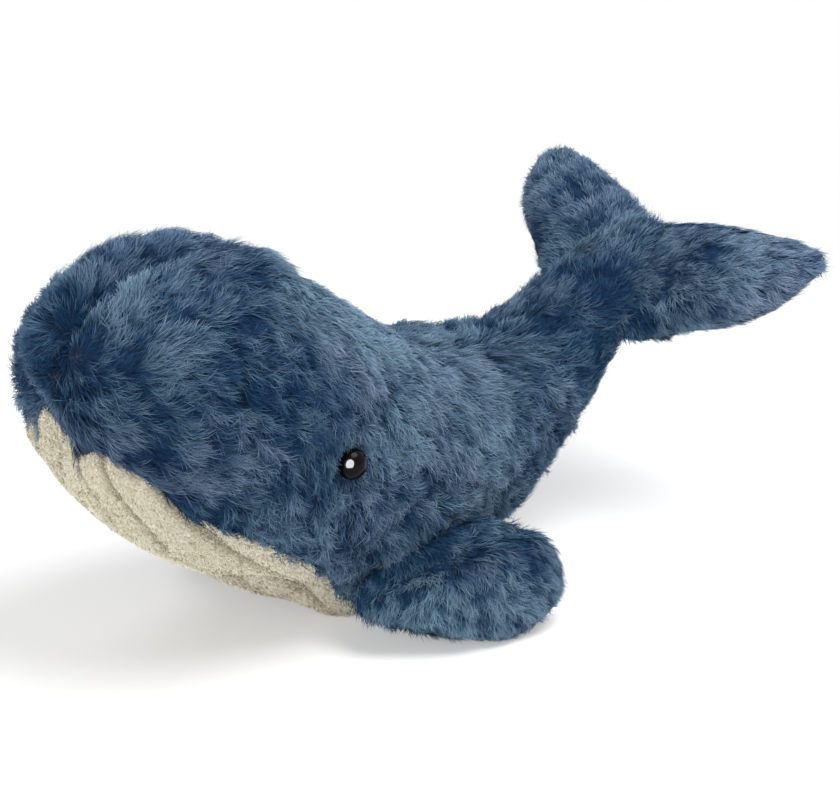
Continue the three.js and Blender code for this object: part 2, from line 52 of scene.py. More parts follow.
class Wire:
    """A socket of a node tree, which can be added, scaled and joined like a number."""

    def __init__(self, tree, socket):
        self.tree = tree
        self.socket = socket

    @classmethod
    def node(cls, tree, kind, settings=None, inputs=None, output=0):
        """A new node: its settings come first, then the values or wires of its sockets."""
        new = tree.nodes.new(kind)
        for name, value in (settings or {}).items():
            if name == "stops":
                ramp = new.color_ramp
                while len(ramp.elements) < len(value):
                    ramp.elements.new(0.5)
                for element, (place, colour) in zip(ramp.elements, value):
                    element.position = place
                    element.color = (*colour, 1)
            elif name == "steps":
                new.color_ramp.interpolation = "CONSTANT" if value else "LINEAR"
            else:
                setattr(new, name, value)
        for name, value in (inputs or {}).items():
            if isinstance(value, Wire):
                tree.links.new(value.socket, new.inputs[name])
            else:
                new.inputs[name].default_value = value
        return cls(tree, new.outputs[output]) if len(new.outputs) else new

    def __getitem__(self, output):
        return Wire(self.tree, self.socket.node.outputs[output])

    def numbers(self, operation, *others):
        """A Math node, with this wire as its first number."""
        inputs = dict(enumerate((self, *others)))
        return Wire.node(self.tree, "ShaderNodeMath", {"operation": operation}, inputs)

    def vectors(self, operation, *others, output="Vector"):
        """A Vector Math node, with this wire as its first vector."""
        inputs = dict(enumerate((self, *others)))
        return Wire.node(self.tree, "ShaderNodeVectorMath", {"operation": operation}, inputs, output)

    def joined(self, operation, other, turned=False):
        """This and another value, as numbers, as vectors, or as a vector and its scale."""
        pair = (other, self) if turned else (self, other)
        inputs = dict(enumerate(pair))
        kinds = [getattr(getattr(value, "socket", None), "type", "") for value in pair]
        is_vector = [isinstance(value, tuple) or kind == "VECTOR" for value, kind in zip(pair, kinds)]
        if not any(is_vector):
            return Wire.node(self.tree, "ShaderNodeMath", {"operation": operation}, inputs)
        if operation == "MULTIPLY" and not all(is_vector):
            vector, number = pair if is_vector[0] else pair[::-1]
            operation = "SCALE"
            inputs = {0: vector, "Scale": number}
        return Wire.node(self.tree, "ShaderNodeVectorMath", {"operation": operation}, inputs)

    def __add__(self, other):
        return self.joined("ADD", other)

    def __radd__(self, other):
        return self.joined("ADD", other, turned=True)

    def __sub__(self, other):
        return self.joined("SUBTRACT", other)

    def __rsub__(self, other):
        return self.joined("SUBTRACT", other, turned=True)

    def __mul__(self, other):
        return self.joined("MULTIPLY", other)

    def __rmul__(self, other):
        return self.joined("MULTIPLY", other, turned=True)

    def __pow__(self, other):
        return self.joined("POWER", other)

    def apart(self):
        """A vector's numbers, read as ["X"], ["Y"] and ["Z"]."""
        return Wire.node(self.tree, "ShaderNodeSeparateXYZ", {}, {0: self})

    def ramp(self, stops, steps=False):
        """Colours in place of a number from 0 to 1."""
        return Wire.node(self.tree, "ShaderNodeValToRGB", {"stops": stops, "steps": steps}, {"Fac": self})


def new_material(name):
    """An empty material and its tree."""
    material = bpy.data.materials.new(name)
    material.use_nodes = True
    material.node_tree.nodes.clear()
    return material, material.node_tree


def object_place(tree):
    """Where a point of the piece lies, in the frame."""
    return Wire.node(tree, "ShaderNodeTexCoord", {}, {}, "Object")


def finish_surface(tree, settings):
    """A Principled surface from its sockets' values or wires."""
    shader = Wire.node(tree, "ShaderNodeBsdfPrincipled", {}, settings)
    Wire.node(tree, "ShaderNodeOutputMaterial", {}, {"Surface": shader})


table_radius = 3.0
table_sides = 96
turns = [2 * math.pi * step / table_sides for step in range(table_sides)]
sheet = bpy.data.meshes.new("table_top")
sheet.from_pydata([(table_radius * math.cos(a), table_radius * math.sin(a), 0) for a in turns], [],
                  [tuple(range(table_sides))])
table_top = bpy.data.objects.new("table_top", sheet)
bpy.context.collection.objects.link(table_top)

# the table turns white towards the edge of the view, and keeps the whale's shadow near it
shadow_start, shadow_end = 0.16, 0.42  # m, from the middle of the table
nearby_white = 0.35
table_white, tree = new_material("table_white")
distance = object_place(tree).vectors("LENGTH", output="Value")
far = Wire.node(tree, "ShaderNodeMapRange", {"interpolation_type": "SMOOTHSTEP"},
                {"Value": distance, "From Min": shadow_start, "From Max": shadow_end})
seen = Wire.node(tree, "ShaderNodeLightPath", {}, {}, "Is Camera Ray")
paint = Wire.node(tree, "ShaderNodeBsdfPrincipled", {},
                  {"Base Color": (0.93, 0.93, 0.93, 1), "Roughness": 0.8})
glow = Wire.node(tree, "ShaderNodeEmission", {}, {"Color": (1, 1, 1, 1), "Strength": 1.0})
share = (far * (1 - nearby_white) + nearby_white) * seen
both = Wire.node(tree, "ShaderNodeMixShader", {}, {"Fac": share, 1: paint, 2: glow})
Wire.node(tree, "ShaderNodeOutputMaterial", {}, {"Surface": both})
sheet.materials.append(table_white)

wall_light = 0.44  # what the wall gives to the whale, where the camera sees plain white
wall = bpy.data.worlds.new("white_wall")
wall.use_nodes = True
tree = wall.node_tree
tree.nodes.clear()
path = Wire.node(tree, "ShaderNodeLightPath", {}, {}, "Is Camera Ray")
seen = path.numbers("MAXIMUM", path["Is Glossy Ray"])
glow = Wire.node(tree, "ShaderNodeBackground", {},
                 {"Color": (1, 1, 1, 1), "Strength": seen * (1 - wall_light) + wall_light})
Wire.node(tree, "ShaderNodeOutputWorld", {}, {"Surface": glow})
bpy.context.scene.world = wall
bpy.context.scene.view_settings.view_transform = "Standard"

aim = Vector((0, -0.018, 0.080))  # m, what the lamps and the camera face


def way_out(azimuth, elevation):
    """The way from the whale to a lamp or the camera, in degrees; azimuth 0 is before the nose."""
    a, e = math.radians(azimuth), math.radians(elevation)
    return Vector((math.sin(a) * math.cos(e), -math.cos(a) * math.cos(e), math.sin(e)))


def lamp(name, azimuth, elevation, distance, size, power, kept_to=None):
    """A round soft lamp that faces the whale, or one that only glints in what it is kept to."""
    light = bpy.data.lights.new(name, "AREA")
    light.shape = "DISK"
    light.size = size
    light.energy = power
    holder = bpy.data.objects.new(name, light)
    away = way_out(azimuth, elevation)
    holder.location = aim + away * distance
    holder.rotation_euler = away.to_track_quat("Z", "Y").to_euler()
    bpy.context.collection.objects.link(holder)
    if kept_to:
        lit = bpy.data.collections.new(name + "_lit")
        for piece in kept_to:
            lit.objects.link(piece)
        holder.light_linking.receiver_collection = lit
        holder.visible_diffuse = False


lamp("overhead_softbox", 120, 66, 1.3, 1.0, 20)
lamp("front_softbox", 20, 14, 1.6, 1.4, 15)
lamp("rear_softbox", 235, 35, 1.5, 1.0, 8)

camera_azimuth, camera_elevation, camera_distance = 50, 22, 1.5
photo_width, pixels_per_metre = 840, 2600
shift_right, shift_down = 0.0254, 0.0035  # m, from the aim to the middle of the picture
away = way_out(camera_azimuth, camera_elevation)
rightward = Vector((math.cos(math.radians(camera_azimuth)), math.sin(math.radians(camera_azimuth)), 0))
upward = away.cross(rightward)
view = bpy.data.cameras.new("camera")
view.sensor_width = 36
view.lens = 36 * pixels_per_metre * camera_distance / photo_width
view.clip_start = 0.05
view.clip_end = 20
camera = bpy.data.objects.new("camera", view)
camera.location = aim + rightward * shift_right - upward * shift_down + away * camera_distance
camera.rotation_euler = away.to_track_quat("Z", "Y").to_euler()
bpy.context.collection.objects.link(camera)
bpy.context.scene.camera = camera


# The body
# Two mirrored side panels of long-pile plush, sewn along the crown and the back and stuffed with
# fibre. Here the stuffed cloth is one smooth skin that the pile grows from, under the sewn form.

nose_along = -166.64  # mm, where the nose lies in the frame
body_length, body_height, half_width = 304, 161, 62
seam_depth = 7  # mm, how far the centre seam is pulled in
seam_reach = 13  # mm, from the centre seam to where the back has risen again
fullness = 0.9  # of a cross-section, where 1 is an ellipse and less is squarer
sides = (("left", 1), ("right", -1))

# shares of the sizes above: back along, back height, keel along, keel height, half width, seam depth
body_shares = [
    (0, 0.708, 0, 0.708, 0, 0),
    (0.008, 0.776, 0.01, 0.627, 0.258, 0.071),
    (0.028, 0.854, 0.03, 0.54, 0.484, 0.286),
    (0.071, 0.929, 0.064, 0.444, 0.71, 0.429),
    (0.141, 0.984, 0.115, 0.342, 0.887, 0.429),
    (0.237, 1, 0.197, 0.217, 0.984, 0.429),
    (0.345, 0.925, 0.299, 0.078, 1, 0.429),
    (0.461, 0.758, 0.421, -0.003, 0.952, 0.714),
    (0.572, 0.627, 0.553, -0.003, 0.839, 1),
    (0.678, 0.568, 0.668, 0.05, 0.694, 1),
    (0.766, 0.559, 0.776, 0.168, 0.54, 0.714),
    (0.845, 0.627, 0.865, 0.311, 0.403, 0.286),
    (0.908, 0.702, 0.934, 0.46, 0.331, 0.143),
    (0.961, 0.739, 0.98, 0.578, 0.234, 0),
    (1, 0.683, 1, 0.683, 0, 0),
]


def smooth_line(rows, columns, sizes):
    """A curve through a table's stations, rounded the way a bent strip of card is."""
    knots = np.array([[row[c] * size for c, size in zip(columns, sizes)] for row in rows], float)
    knots = np.vstack([2 * knots[0] - knots[1], knots, 2 * knots[-1] - knots[-2]])

    def at(share):
        place = np.clip(np.asarray(share, float), 0, 1) * (len(rows) - 1)
        first = np.minimum(place.astype(int), len(rows) - 2)
        t = (place - first)[..., None]
        before, start, end, after = (knots[first + k] for k in range(4))
        steps = ((before, start), (start, end), (end, after))
        gaps = [np.sqrt(np.linalg.norm(b - a, axis=-1))[..., None] for a, b in steps]
        g0, g1, g2 = (np.where(gap < 1e-4, gaps[1], gap) for gap in gaps)
        lean_in = ((start - before) / g0 - (end - before) / (g0 + g1) + (end - start) / g1) * g1
        lean_out = ((end - start) / g1 - (after - start) / (g1 + g2) + (after - end) / g2) * g1
        square = 3 * (end - start) - 2 * lean_in - lean_out
        cube = 2 * (start - end) + lean_in + lean_out
        return start + lean_in * t + square * t**2 + cube * t**3

    return at


def signed_power(value, power):
    return np.sign(value) * np.abs(value) ** power


back_line = smooth_line(body_shares, (0, 1, 5), (body_length, body_height, seam_depth))
keel_line = smooth_line(body_shares, (2, 3, 4), (body_length, body_height, half_width))


def body_form(share, angle):
    """Points of the sewn body's outside, in mm."""
    back, keel = back_line(share), keel_line(share)
    across = keel[..., 2] * signed_power(np.cos(angle), fullness)
    lift = signed_power(np.sin(angle), fullness)
    rise = back[..., :2] - keel[..., :2]
    height = np.linalg.norm(rise, axis=-1)
    pull = back[..., 2] * np.exp(-((across / seam_reach) ** 2)) * np.maximum(lift, 0) ** 4
    step = rise / np.maximum(height, 1e-9)[..., None] * (height / 2 * lift - pull)[..., None]
    middle = (back[..., :2] + keel[..., :2]) / 2 + step
    return np.stack([across, middle[..., 0] + nose_along, middle[..., 1]], -1)


def outward(points, faces):
    """The faces of a closed shape, turned round if they point inwards."""
    corners = ((f[0], f[k], f[k + 1]) for f in faces for k in range(1, len(f) - 1))
    volume = sum(points[a] @ np.cross(points[b], points[c]) for a, b, c in corners)
    return faces if volume > 0 else [f[::-1] for f in faces]


def tube(rings, start=None, end=None):
    """Points and faces of a closed tube of rings, with a pole or a flat cap at each end."""
    count, in_ring = rings.shape[:2]
    points = list(rings.reshape(-1, 3))
    faces = []
    for i in range(count - 1):
        for k in range(in_ring):
            a, b = i * in_ring + k, i * in_ring + (k + 1) % in_ring
            faces.append((a, b, b + in_ring, a + in_ring))
    for tip, ring, forward in ((start, 0, True), (end, count - 1, False)):
        centre = len(points)
        points.append(rings[ring].mean(0) if tip is None else tip)
        for k in range(in_ring):
            a, b = ring * in_ring + k, ring * in_ring + (k + 1) % in_ring
            faces.append((b, a, centre) if forward else (a, b, centre))
    points = np.array(points)
    return points, outward(points, faces)


def new_piece(name, points, faces, material=None):
    """A smooth-shaded object at the origin, from points in mm."""
    mesh = bpy.data.meshes.new(name)
    mesh.from_pydata((np.asarray(points) / 1000).tolist(), [], [tuple(f) for f in faces])
    mesh.shade_smooth()
    if material:
        mesh.materials.append(material)
    piece = bpy.data.objects.new(name, mesh)
    bpy.context.collection.objects.link(piece)
    return piece


def points_of(piece):
    """A piece's points in mm."""
    flat = np.empty(len(piece.data.vertices) * 3)
    piece.data.vertices.foreach_get("co", flat)
    return flat.reshape(-1, 3) * 1000


def normals_of(piece):
    """The way out of a piece at each of its points."""
    piece.data.update()
    flat = np.empty(len(piece.data.vertices) * 3)
    piece.data.vertex_normals.foreach_get("vector", flat)
    return flat.reshape(-1, 3)


around = 160  # points in each ring of the skins of the body and the tail
table_clearance = 0.8  # mm, from the table up to the cloth


def move_out(piece, distance, cut_start=False, cut_end=False):
    """Moves a skin's points out, in mm; a cut end's ring takes the next ring's way out."""
    normals = normals_of(piece)
    if cut_start:
        normals[:around] = normals[around:2 * around]
    if cut_end:
        normals[-around - 2:-2] = normals[-2 * around - 2:-around - 2]
    moved = points_of(piece) + normals * np.asarray(distance)[:, None]
    moved[:, 2] = np.maximum(moved[:, 2], table_clearance)
    piece.data.vertices.foreach_set("co", (moved / 1000).ravel())
    piece.data.update()


def folded(points):
    """Points with the right side laid over the left one."""
    return np.column_stack([np.abs(points[:, 0]), points[:, 1:]])


def fading(points, place, reach):
    """From 1 at a place down to 0 some way past its reach."""
    return np.exp(-((points - place) ** 2).sum(1) / reach**2)


def dent(points, path, reach, depth):
    """How far a crease or a bump along a path moves each point, on both sides."""
    path = np.array(path, float)
    ends = path[1:] if len(path) > 1 else path + 1e-6
    spots = folded(points)
    nearest = np.full(len(points), 1e9)
    for a, b in zip(path, ends):
        t = np.clip((spots - a) @ (b - a) / ((b - a) @ (b - a)), 0, 1)
        nearest = np.minimum(nearest, np.linalg.norm(spots - a - t[:, None] * (b - a), axis=1))
    return depth * np.exp(-((nearest / reach) ** 2))


def settle(points, moves, reach=13):
    """Points after the stuffing has settled, by a table of places and of how each of them moves."""
    moves = np.array(moves, float)
    weight = np.exp(-((points[:, None, :] - moves[None, :, :3]) ** 2).sum(-1) / reach**2)
    return (weight @ moves[:, 3:]) / np.maximum(weight.sum(1), 1)[:, None] + points


# how the stuffed body has settled: a place, then how far it has moved, in whole mm
body_moves = [
    # the belly, the throat and the chin
    (25, -44, 6, 2, -1, -5), (31, -67, 18, -1, 3, 7), (24, -86, 25, -1, 3, 7), (22, -107, 38, 0, -1, -2),
    (10, -115, 43, 0, -1, -2), (20, -122, 50, 0, -3, -4), (9, -137, 62, 0, -2, -3),
    (-8, -140, 64, 0, -1, -1), (3, -149, 75, 0, -1, -1), (-9, -158, 90, 4, 7, 4), (-14, -163, 104, 6, 9, 4),
    (-18, -162, 120, 1, 1, 0),
    # the far lobe, the crown and the neck
    (-23, -152, 136, 2, 1, -1), (-25, -138, 148, 2, 1, -1), (-26, -120, 154, 0, 0, 0),
    (-18, -104, 157, 0, 0, 0), (-18, -84, 154, 0, 0, 1), (-6, -86, 155, 0, 1, 2), (12, -82, 153, 0, 3, 4),
    (25, -76, 150, 0, 3, 5), (-8, -67, 148, 0, 0, 1), (8, -68, 148, 0, 2, 2), (30, -62, 140, 0, 0, 0),
    (33, -46, 127, 0, 2, 2), (28, -28, 115, 0, 1, 2),
    # the back, from the neck to the tail
    (-6, 22, 91, -1, 0, 3), (-14, 32, 89, -1, 0, 2), (-8, 43, 87, -2, 0, 3), (-17, 58, 85, -1, 0, 2),
    (-5, 59, 86, -3, 0, 4), (-5, 74, 90, -4, -2, 5), (-8, 90, 98, -3, -2, 2), (12, 131, 106, 0, 5, 9),
    # the flank under the tail
    (42, 22, 29, -3, -2, 2), (42, 36, 37, -2, -1, 2), (36, 56, 46, -3, -3, 2), (27, 88, 72, 1, 1, -1),
]


def keep(piece, name, values):
    """Keeps a number or a direction for each point of a skin."""
    values = np.asarray(values, float)
    if name in piece.data.attributes:
        piece.data.attributes.remove(piece.data.attributes[name])
    kind, field = ("FLOAT_VECTOR", "vector") if values.ndim == 2 else ("FLOAT", "value")
    kept = piece.data.attributes.new(name, kind, "POINT")
    kept.data.foreach_set(field, values.ravel())


def values_of(piece, name):
    """The numbers that were kept for a skin's points."""
    kept = np.empty(len(piece.data.vertices))
    piece.data.attributes[name].data.foreach_get("value", kept)
    return kept


def body_skin(name, first, last, rings, cut_start, cut_end):
    """A stretch of the body's skin, closed at both ends, with its rings closer at a pole."""
    along = np.linspace(0, 1, rings)
    if not cut_start:
        along = along**1.6
    if not cut_end:
        along = 1 - (1 - along) ** 1.6
    share = first + (last - first) * along
    share = share[(0 if cut_start else 1):(None if cut_end else -1)]
    angle = np.linspace(-np.pi / 2, 1.5 * np.pi, around + 1)[:-1]
    start = None if cut_start else body_form(first, 0.0)
    end = None if cut_end else body_form(last, 0.0)
    points, faces = tube(body_form(share[:, None], angle[None, :]), start, end)
    piece = new_piece(name, settle(points, body_moves), faces)
    keep(piece, "station", np.append(np.repeat(share, around), [first, last]))
    return piece


# where the stuffed cloth folds: path in mm, reach, depth, and how much painted shade darkens the fur in the
# fold
creases = [
    ([(39, -121, 146), (45, -117, 140), (51, -113, 132), (56, -115, 118), (58, -114, 107), (59, -110, 97)],
     4.5, 1.8, 0.32),
    ([(59, -92, 115), (53, -79, 124)], 4, 1.5, 0.22),
    ([(38, -151, 102), (45, -143, 97)], 3.5, 2.0, 0.40),
    ([(59, -84, 70), (56, -77, 53)], 4, 1.5, 0.28),
    ([(45, -39, 110), (53, -41, 98), (58, -46, 85), (59, -40, 72)], 5, 2.8, 0.34),
    ([(57, -19, 54), (58, -30, 53), (58, -37, 50), (57, -45, 45), (53, -53, 37)], 5.5, 4.2, 0.72),
]
# other swellings and hollows, in which the fur is no darker: path, reach and height
swellings = [
    ([(0, -166, 122), (0, -160, 134), (0, -142, 150), (0, -112, 158)], 6, -9.0),
    ([(0, -104, 158), (0, -85, 156)], 6, -3.5),
    ([(15, -157, 135), (16, -142, 148), (18, -118, 156)], 8, 2.6),
    ([(57, -68, 104)], 13, 2.4),
]
hollows = [
    ([(57, -67, 82)], 8, -1.2),
    ([(0, -66, 150), (25, -64, 142)], 6, -2.0),
]
pile_depth = 5.4  # mm, from the form's outside down to the cloth that the pile is woven into
split_share = 0.69  # of the length, where the front skin meets the tail's
split_overlap = 0.011  # how far each of them runs on past that
body_skin_front = body_skin("body_skin", 0, split_share + split_overlap, 150, False, True)
spots = points_of(body_skin_front)
shaping = -pile_depth
for path, reach, height in swellings:
    shaping = shaping + dent(spots, path, reach, height)
for path, reach, depth, crease_shade in creases:
    shaping = shaping + dent(spots, path, reach, -depth)
for path, reach, height in hollows:
    shaping = shaping + dent(spots, path, reach, height)
move_out(body_skin_front, shaping, cut_end=True)

# the fur's lie on the near side and the nose: a place in mm, then the way that the strands point
comb_guides = np.array([
    # the far lobe and the nose
    (-33, -144, 138, -0.8, 0.2, -0.5), (-18, -161, 127, -0.9, 0.1, -0.4), (-13, -165, 114, -0.8, 0.1, -0.6),
    (-2, -162, 128, -0.6, -0.3, -0.8), (5, -166, 116, -0.4, -0.1, -0.9), (4, -163, 130, -0.2, -0.2, -1.0),
    (8, -164, 122, -0.1, -0.1, -1.0), (12, -163, 115, 0.3, 0.1, -0.8), (15, -162, 105, 0.8, 0.3, -0.3),
    # the crown, along the centre seam
    (-3, -153, 141, -0.9, 0.3, 0.2), (-9, -137, 151, -0.9, 0.5, 0.2), (-10, -121, 156, -0.8, 0.6, 0.1),
    (-10, -102, 157, -0.8, 0.6, 0.0), (1, -88, 155, 0.3, 0.9, -0.3), (21, -80, 152, 0.6, 0.7, -0.3),
    (12, -157, 135, -0.2, 0.5, 0.8), (12, -148, 144, -0.6, 0.6, 0.4), (15, -139, 150, -0.6, 0.8, 0.3),
    # the near lobe
    (22, -127, 153, -0.4, 0.8, 0.5), (32, -139, 144, -0.3, 0.7, 0.6), (34, -117, 151, -0.2, 1.0, 0.1),
    (25, -151, 137, 0.3, 0.8, 0.6), (24, -160, 124, 0.9, 0.4, -0.2), (21, -162, 112, 0.8, 0.3, -0.5),
    (31, -156, 106, 0.8, 0.5, -0.2), (36, -152, 122, 0.7, 0.7, -0.1), (43, -130, 138, 0.4, 0.9, 0.1),
    (42, -147, 107, 0.7, 0.7, -0.2), (49, -134, 121, 0.5, 0.8, -0.3), (51, -132, 98, 0.4, 0.8, -0.5),
    # the brow and the cheek, round the eye
    (33, -94, 152, -0.1, 0.9, -0.3), (48, -101, 139, 0.5, 0.8, -0.4), (55, -117, 119, 0.2, 0.8, -0.5),
    (57, -118, 100, 0.1, 0.8, -0.5), (51, -119, 75, 0.0, 0.8, -0.6), (35, -79, 146, 0.4, 0.7, -0.5),
    (48, -83, 135, 0.4, 0.6, -0.7), (59, -92, 113, 0.1, 0.6, -0.8), (60, -94, 87, 0.0, 0.6, -0.8),
    (55, -94, 61, -0.1, 0.7, -0.7), (57, -67, 110, 0.3, 0.2, -0.9), (61, -80, 95, 0.1, 0.5, -0.9),
    (60, -84, 72, 0.0, 0.5, -0.9), (60, -70, 64, -0.1, 0.3, -0.9), (55, -56, 42, -0.3, 0.4, -0.9),
    # the neck and the flank
    (47, -62, 125, 0.0, 0.8, -0.6), (32, -37, 121, -0.2, 0.8, -0.5), (40, -34, 112, -0.2, 0.9, -0.5),
    (53, -40, 98, 0.2, 0.4, -0.9), (59, -47, 82, 0.0, 0.2, -1.0), (60, -46, 65, -0.1, 0.6, -0.8),
    (37, -6, 96, -0.1, 0.8, -0.5), (50, -12, 82, 0.0, 0.7, -0.7), (57, -29, 68, -0.1, 0.7, -0.7),
    (53, -10, 66, -0.1, 0.7, -0.7), (55, -26, 38, -0.4, 0.6, -0.7), (42, 10, 81, 0.3, 0.7, -0.6),
    (44, 29, 64, -0.1, 0.8, -0.6), (49, 14, 49, -0.3, 0.7, -0.6),
    # the back and the tail
    (30, 31, 84, 0.2, 0.8, -0.5), (20, 50, 85, 0.6, 0.7, -0.2), (29, 55, 78, 0.3, 0.8, -0.4),
    (38, 50, 61, -0.2, 0.8, -0.5), (19, 72, 88, 0.4, 0.9, 0.2), (29, 80, 72, -0.2, 0.9, -0.4),
    (21, 87, 89, 0.0, 1.0, 0.2), (19, 99, 98, -0.1, 0.8, 0.5),
])


def along_surface(flow, normals):
    """Directions laid down on the surface, each of length 1."""
    flow = flow - normals * (flow * normals).sum(1)[:, None]
    return flow / np.maximum(np.linalg.norm(flow, axis=1), 1e-9)[:, None]


def comb(spots, normals, guides, mirror=True, reach=20):
    """The direction that the fur lies in at each spot, from the guides round it."""
    if mirror:
        other = guides[guides[:, 0] > 10] * (-1, 1, 1, -1, 1, 1)
        on_far_lobe = (other[:, 0] > -30) & (other[:, 1] < -95) & (other[:, 2] > 115)
        guides = np.vstack([guides, other[~on_far_lobe]])
    flow = np.tile([0.0, 0.02, -0.006], (len(spots), 1))
    for row in guides:
        weight = fading(spots, row[:3], reach)
        if abs(row[0]) > 4:
            weight = weight / (1 + np.exp(-spots[:, 0] * np.sign(row[0]) / 1.2))
        flow += weight[:, None] * row[3:]
    return along_surface(flow, normals)


# the mouth's edge: how far back from the nose and how high in mm; the blue fur hangs over it
mouth_edge = np.array([
    (-22, 113), (1, 107), (5, 102), (11, 94), (16, 89), (21, 86), (26, 81), (31, 75), (36, 69), (43, 64),
    (50, 60), (60, 55), (68, 50), (75, 45), (90, 36), (97, 27), (105, 16), (114, 10), (128, 8), (142, 8),
    (172, 10), (213, 9),
])
nose_dip, nose_dip_width = 9, 8.5  # mm, how much lower the edge hangs in the middle of the nose


def above_mouth(spots):
    """How far above the mouth's edge each spot lies, in mm."""
    edge = np.interp(spots[..., 1] - nose_along, mouth_edge[:, 0], mouth_edge[:, 1])
    on_nose = np.clip((-148 - spots[..., 1]) / 8, 0, 1)
    return spots[..., 2] - edge + nose_dip * np.exp(-((spots[..., 0] / nose_dip_width) ** 2)) * on_nose


def noise(place, scale, detail, output="Fac", roughness=0.5):
    """Cloudy noise at a place."""
    return Wire.node(place.tree, "ShaderNodeTexNoise", {"noise_dimensions": "3D"},
                     {"Vector": place, "Scale": scale, "Detail": detail, "Roughness": roughness}, output)


# strands and locks on a square metre; a strand's length and half width in m; the rest are shares
fur_sizes = {
    "Density": 3.0e6, "Length": 0.0085, "Width": 0.000147, "Locks": 40000.0, "Gather": 0.36, "Lift": 0.60,
    "Lean": 0.32, "Stray": 0.24, "Swirl": 1.9, "Curl": 0.38, "Partings": 1.0, "Mottle": 1.0,
}


